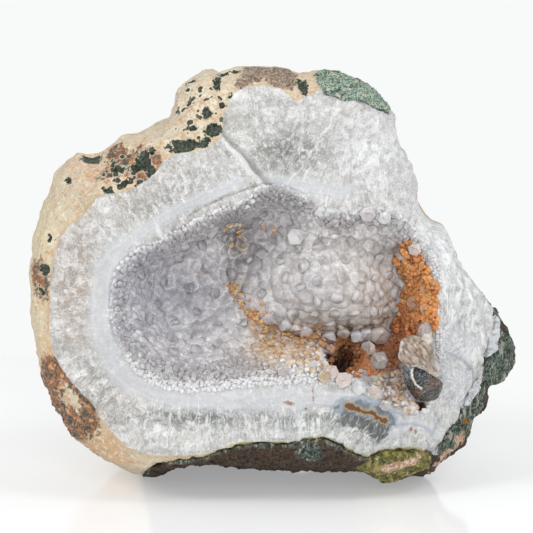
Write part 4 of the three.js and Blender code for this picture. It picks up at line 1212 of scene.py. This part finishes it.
crumbly = in_hollow & (lip < -2) & (zeolite > 0) & (crease < 1.35 - 1.35 * ease(wall_x, -3, 2))
scattered = in_hollow & (lip < -3) & (out_of_ovals(CRUMB_SPOTS, wall_spots) < 0)
scattered &= (ripple(wall_rest, 1.8, 23) > 0.15) & (on_calcite > 1)
crusted = grown("zeolite_blocks", stained & (wall_x > 17), 0.6, blocks, 5, 0.85, 0.5, 1.1, 0.9)
heaped = grown("zeolite_clusters", heap, 2.0, blocks, 9, 0.9, 0.5, 1.2, 0.9)
crumbled = grown("zeolite_crumbs", crumbly | scattered, 2.6, blocks, 12, 0.55, 0.3, 0.75, 0.9)
for piece in (crusted, heaped, crumbled):
    tinted(piece, ZEOLITE_ORANGE, ZEOLITE_WASHES, 0.24)
    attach(piece, "root")
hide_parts("orange_zeolite")
for shape in crystal_shapes + worn_shapes + block_shapes:
    bpy.data.objects.remove(shape)


# ----------------------------------------------------------------------
# The calcite: two intergrown crystals in the lower right corner of the hollow, a dark smoky one
# layered like a shell round a hollow facet, and a paler, ribbed one above it with a blunt tip.
# ----------------------------------------------------------------------
SHELL_EDGE = [
    [36.4, 37.6], [38, 38], [39.6, 37.2], [41.5, 37], [43.6, 35.8], [45.4, 34.2], [47, 33], [48, 31.8],
    [47.9, 30.5], [47.2, 28.8], [46.5, 27.3], [45, 26.6], [42.6, 26.3], [40.4, 26.8], [38.6, 29.1],
    [37.2, 31.2], [36.4, 33.4], [36.1, 35.6],
]
SHELL_FACET = [
    [39.1, 36.3], [40.8, 37], [43.4, 35.2], [43.4, 33.1], [41.6, 31.4], [40.2, 31.9], [39.3, 33.3],
]
SHELL_RIM = [[39.2, 36.4], [38.9, 34.8], [39.4, 33.3], [40.2, 31.9], [41.6, 31]]
SHELL_ARC = [[40.8, 27.4], [41.6, 28.5], [43, 29.7], [44.7, 30.3], [46.4, 31.1], [47.7, 32.4]]
PALE_EDGE = [
    [36.4, 44.8], [38.6, 45.6], [40.3, 45.7], [42.6, 45.1], [44.8, 44.8], [44.6, 43.1], [44.4, 41.4],
    [44.7, 39.7], [44.9, 38], [46, 36.3], [47.1, 34.5], [46.2, 33.7], [44.3, 34.4], [42.7, 35.6], [41, 36.8],
    [39.6, 36.6], [38.3, 36.2], [36.7, 38], [34.9, 39.2], [35.6, 41.7], [35.7, 43.7],
]
PALE_LOW_EDGE = [[38.4, 36], [39.6, 36.6], [41, 36.9], [42.7, 35.7], [44.3, 34.5], [46.4, 33.8]]
TIP_EDGE = [
    [40.5, 44.6], [40.5, 46.6], [41.2, 48.1], [42.3, 49.1], [43.4, 49.3], [44.3, 48.5], [44.7, 46.9],
    [45.4, 45.2], [45.4, 43.6], [43.2, 42.6],
]
ROOT = 12  # mm from a crystal's edge back to its root in the wall


def plate(name, outline, front, crown, turns=96, rings=28):
    """A thick crystal with a domed front over an outline, drawn back to a narrower root in the wall."""
    edge_line = rounded(rounded(outline))
    middle = edge_line.mean(0)
    angle = np.arctan2(*(edge_line - middle).T[::-1])
    order = np.argsort(angle)
    angle, radius = angle[order], np.hypot(*(edge_line - middle)[order].T)
    at = 2 * np.pi * np.arange(turns) / turns - np.pi
    reach = np.interp(at, np.r_[angle - 2 * np.pi, angle, angle + 2 * np.pi], np.tile(radius, 3))
    points, faces = [[middle[0], front - crown, middle[1]]], []
    shares = np.arange(1, rings + 1) / rings
    dome = [(share, front - crown * (1 - share**2.2)) for share in shares]
    flank = [(1.0, front + 1.0), (0.86, front + 4.0), (0.6, front + ROOT)]
    for share, depth in dome + flank:
        x, z = middle[0] + reach * share * np.cos(at), middle[1] + reach * share * np.sin(at)
        points += np.column_stack([x, np.full(turns, depth), z]).tolist()
    last = rings + len(flank) - 1
    index = lambda ring, turn: 1 + ring * turns + turn % turns
    for turn in range(turns):
        faces.append([0, index(0, turn), index(0, turn + 1)])
        for ring in range(last):
            corners = (ring, turn), (ring + 1, turn), (ring + 1, turn + 1), (ring, turn + 1)
            faces.append([index(*corner) for corner in corners])
    faces.append([index(last, turn) for turn in range(turns)][::-1])
    piece = new_piece(name, (np.array(points) * MM).tolist(), faces)
    with reshaped(piece.data) as form:
        bmesh.ops.recalc_face_normals(form, faces=form.faces)
    return piece


shell = plate("calcite_shell", SHELL_EDGE, -20.6, 3.0)
shell_rest, shell_out = places(shell), facings(shell)
shell_spots = shell_rest[:, [0, 2]]
facet = outside(SHELL_FACET, shell_spots)[0]
arc_away, arc_spot = nearest_on(rounded(SHELL_ARC, False), shell_spots)
arc = np.where(shell_spots[:, 1] > arc_spot[:, 1], arc_away, -arc_away)
in_front = ease(-shell_out[:, 1], 0.1, 0.5)
ledges = 0.14 * np.sin(5.5 * arc + 2 * ripple(shell_rest, 2, 31))
hollowed = -1.6 * (1 - ease(facet, -0.8, 0.1)) - 0.5 * ease(arc, 0.2, -0.4)
flakes = 0.22 * chips(shell_rest, 1.6) + 0.12 * ripple(shell_rest, 0.8, 32)
shell_rise = in_front * (hollowed + ledges + flakes)
put(shell, shell_rest - np.outer(shell_rise, (0, 1, 0)))
store(
    shell, facet=facet, arc=arc,
    rim=outside(SHELL_EDGE, shell_spots)[0],
    white=from_curve(SHELL_RIM, shell_spots),
    slate=patches(shell_rest, [(37.4, 35.4, 1.6, 3.4, 1)]),
    brown=patches(shell_rest, [(45.2, 32, 2.4, 1.3, 1), (40.8, 29.4, 2, 1.4, 0.8)]),
)

smoke = Finish("smoky calcite", Roughness=0.2, IOR=1.6)
growth_lines = smoke.waves(smoke.frayed("arc", smoke.mottle(1.6, 3), 0.5), 10.0)
flecked = smoke.mottle(0.8, 4)
slate_colour = smoke.layered((66, 70, 78), (flecked, 0.4, 0.64, 1.0, (146, 148, 152)))
brown_colour = smoke.layered((66, 46, 36), (flecked, 0.4, 0.64, 1.0, (134, 104, 86)))
facet_colour = smoke.layered((50, 52, 54), (smoke.mottle(0.6, 4, None, 0.6), 0.46, 0.7, 1.0, (140, 142, 142)))
fine_fleck = smoke.mottle(0.7, 4)
calcite_colour = smoke.layered(
    (40, 38, 37),
    (fine_fleck, 0.44, 0.66, 1.0, (84, 79, 75)),
    (growth_lines, 0.75, 1.0, 0.5, (176, 174, 172)),
    ("slate", 0.25, 0.6, 0.8, slate_colour),
    ("brown", 0.3, 0.7, 0.85, brown_colour),
    ("facet", 0.05, -0.2, 1.0, facet_colour),
    (smoke.frayed("white", fine_fleck, 0.15), 0.42, 0.22, 1.0, (206, 198, 190)),
    (smoke.frayed("rim", fine_fleck, 0.15), -0.3, -0.05, 0.7, (176, 160, 144)),
)
smoke.raise_by(smoke.mottle(0.4, 3), 0.08, 0.6)
shell.data.materials.append(smoke.paint(calcite_colour))

pale = plate("calcite_pale", PALE_EDGE, -21.2, 1.6)
tip = plate("calcite_tip", TIP_EDGE, -19.6, 2.0, 48, 14)
horn = Finish("pale calcite", Roughness=0.22, IOR=1.6, Transmission_Weight=0.15)
along_ribs = horn.stored("rib", "Vector")
ribs = horn.mottle(0.8, 3, along_ribs)
pale_colour = horn.layered(
    (132, 112, 96),
    (ribs, 0.38, 0.64, 1.0, (186, 170, 154)),
    (horn.mottle(1.0, 3, along_ribs), 0.6, 0.72, 0.8, (224, 216, 206)),
    (horn.mottle(2.4, 3), 0.54, 0.68, 0.7, (126, 98, 72)),
    ("lilac", 0.2, 0.9, 0.8, (176, 162, 158)),
    (horn.frayed("low", horn.mottle(1.2, 4), 0.5), 1.3, 0.5, 0.9, (212, 204, 195)),
)
horn.raise_by(ribs, 0.4, 0.8)
horn.paint(pale_colour)
ACROSS_RIBS = np.array([[0.8, 0, 0.15], [0, 1, 0], [0.6, 0, -0.2]])  # the pattern changes slowly along them
LEFT_EDGE = [[35.8, 44], [35.6, 41.7], [35, 39.4]]
for piece, seed in ((pale, 41), (tip, 43)):
    rest, out = places(piece), facings(piece)
    spots = rest[:, [0, 2]]
    rib_place = rest @ ACROSS_RIBS
    ribbed = ripple(rib_place, 0.9, seed)
    rise = ease(-out[:, 1], 0, 0.5) * (0.3 * ribbed + 0.6 * chips(rest, 1.8))
    put(piece, rest + out * rise[:, None])
    left_edge = nearest_on(LEFT_EDGE, spots)[0] + 0.4
    knob = np.hypot(rest[:, 0] - 43.6, rest[:, 2] - 45) - 0.6
    low_edge = nearest_on(PALE_LOW_EDGE, spots)[0]
    store(
        piece, rib=rib_place * MM, low=np.minimum(np.minimum(low_edge, left_edge), knob),
        lilac=patches(rest, [(42.6, 47, 3, 2.6, 1)]),
    )
    piece.data.materials.append(horn.material)
for piece in (shell, pale, tip):
    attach(piece, "root")
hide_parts("calcite_crystals")


# ----------------------------------------------------------------------
# The shelf, the light and the camera: a pale, faintly glossy board in a white room that glows faintly,
# as painted light that lifts its shadows, soft light from above on both sides, and the camera a little above
# the stone.
# ----------------------------------------------------------------------
left, right, near, far, thick = -0.9, 0.9, -0.9, 0.196, 0.02
footprint = ((left, near), (right, near), (right, far), (left, far))
corners = [(x, y, height) for height in (-thick, 0) for x, y in footprint]
sides = [(3, 2, 1, 0), (4, 5, 6, 7), (0, 1, 5, 4), (1, 2, 6, 5), (2, 3, 7, 6), (3, 0, 4, 7)]
board = new_piece("shelf", corners, sides)
# The board glows faintly, as painted light: it lifts the shadows on it and lights the stone's underside.
lacquer = Finish(
    "pale lacquer", Roughness=0.12, IOR=1.5, Emission_Color=(0.97, 0.985, 1, 1), Emission_Strength=0.31
)
shelf_colour = lacquer.layered((216, 216, 216), (lacquer.mottle(60, 2), (222, 222, 222)))
board.data.materials.append(lacquer.paint(shelf_colour))

room = bpy.data.worlds.new("white room")
scene.world = room
room.use_nodes = True
sky = room.node_tree.nodes["Background"]
sky.inputs["Color"].default_value = (0.94, 0.955, 0.95, 1)
seen_direct = add_node(room.node_tree, "ShaderNodeLightPath").outputs["Is Camera Ray"]
strength = add_node(room.node_tree, "ShaderNodeMapRange", {"Value": seen_direct, "To Min": 0.62})
room.node_tree.links.new(strength.outputs["Result"], sky.inputs["Strength"])

LIT_SPOT = Vector((0, 0, 0.06))
# Each lamp is its name, its place in metres, its width and its watts.
for name, place, width, watts in (
    ("left lamp", (-0.8, -0.5, 0.8), 0.5, 4.5),
    ("right lamp", (0.7, -0.3, 0.9), 0.4, 3),
    ("front lamp", (0.15, -1.3, 0.5), 0.7, 7),
):
    light = bpy.data.lights.new(name, "AREA")
    light.shape, light.size, light.energy = "DISK", width, watts
    lamp = linked(name, light)
    lamp.location = place
    lamp.rotation_euler = (LIT_SPOT - Vector(place)).to_track_quat("-Z", "Y").to_euler()

TARGET = Vector((-1.9, 0, 62.3)) * MM
LOOK_DOWN = math.radians(8)
CAMERA_AWAY = 0.6  # metres
lens = bpy.data.cameras.new("camera")
lens.lens, lens.sensor_width, lens.clip_start = 139.7, 36, 0.01
camera = linked("camera", lens)
camera.location = TARGET + Vector((0, -math.cos(LOOK_DOWN), math.sin(LOOK_DOWN))) * CAMERA_AWAY
camera.rotation_euler = (math.pi / 2 - LOOK_DOWN, 0, 0)
scene.camera = camera
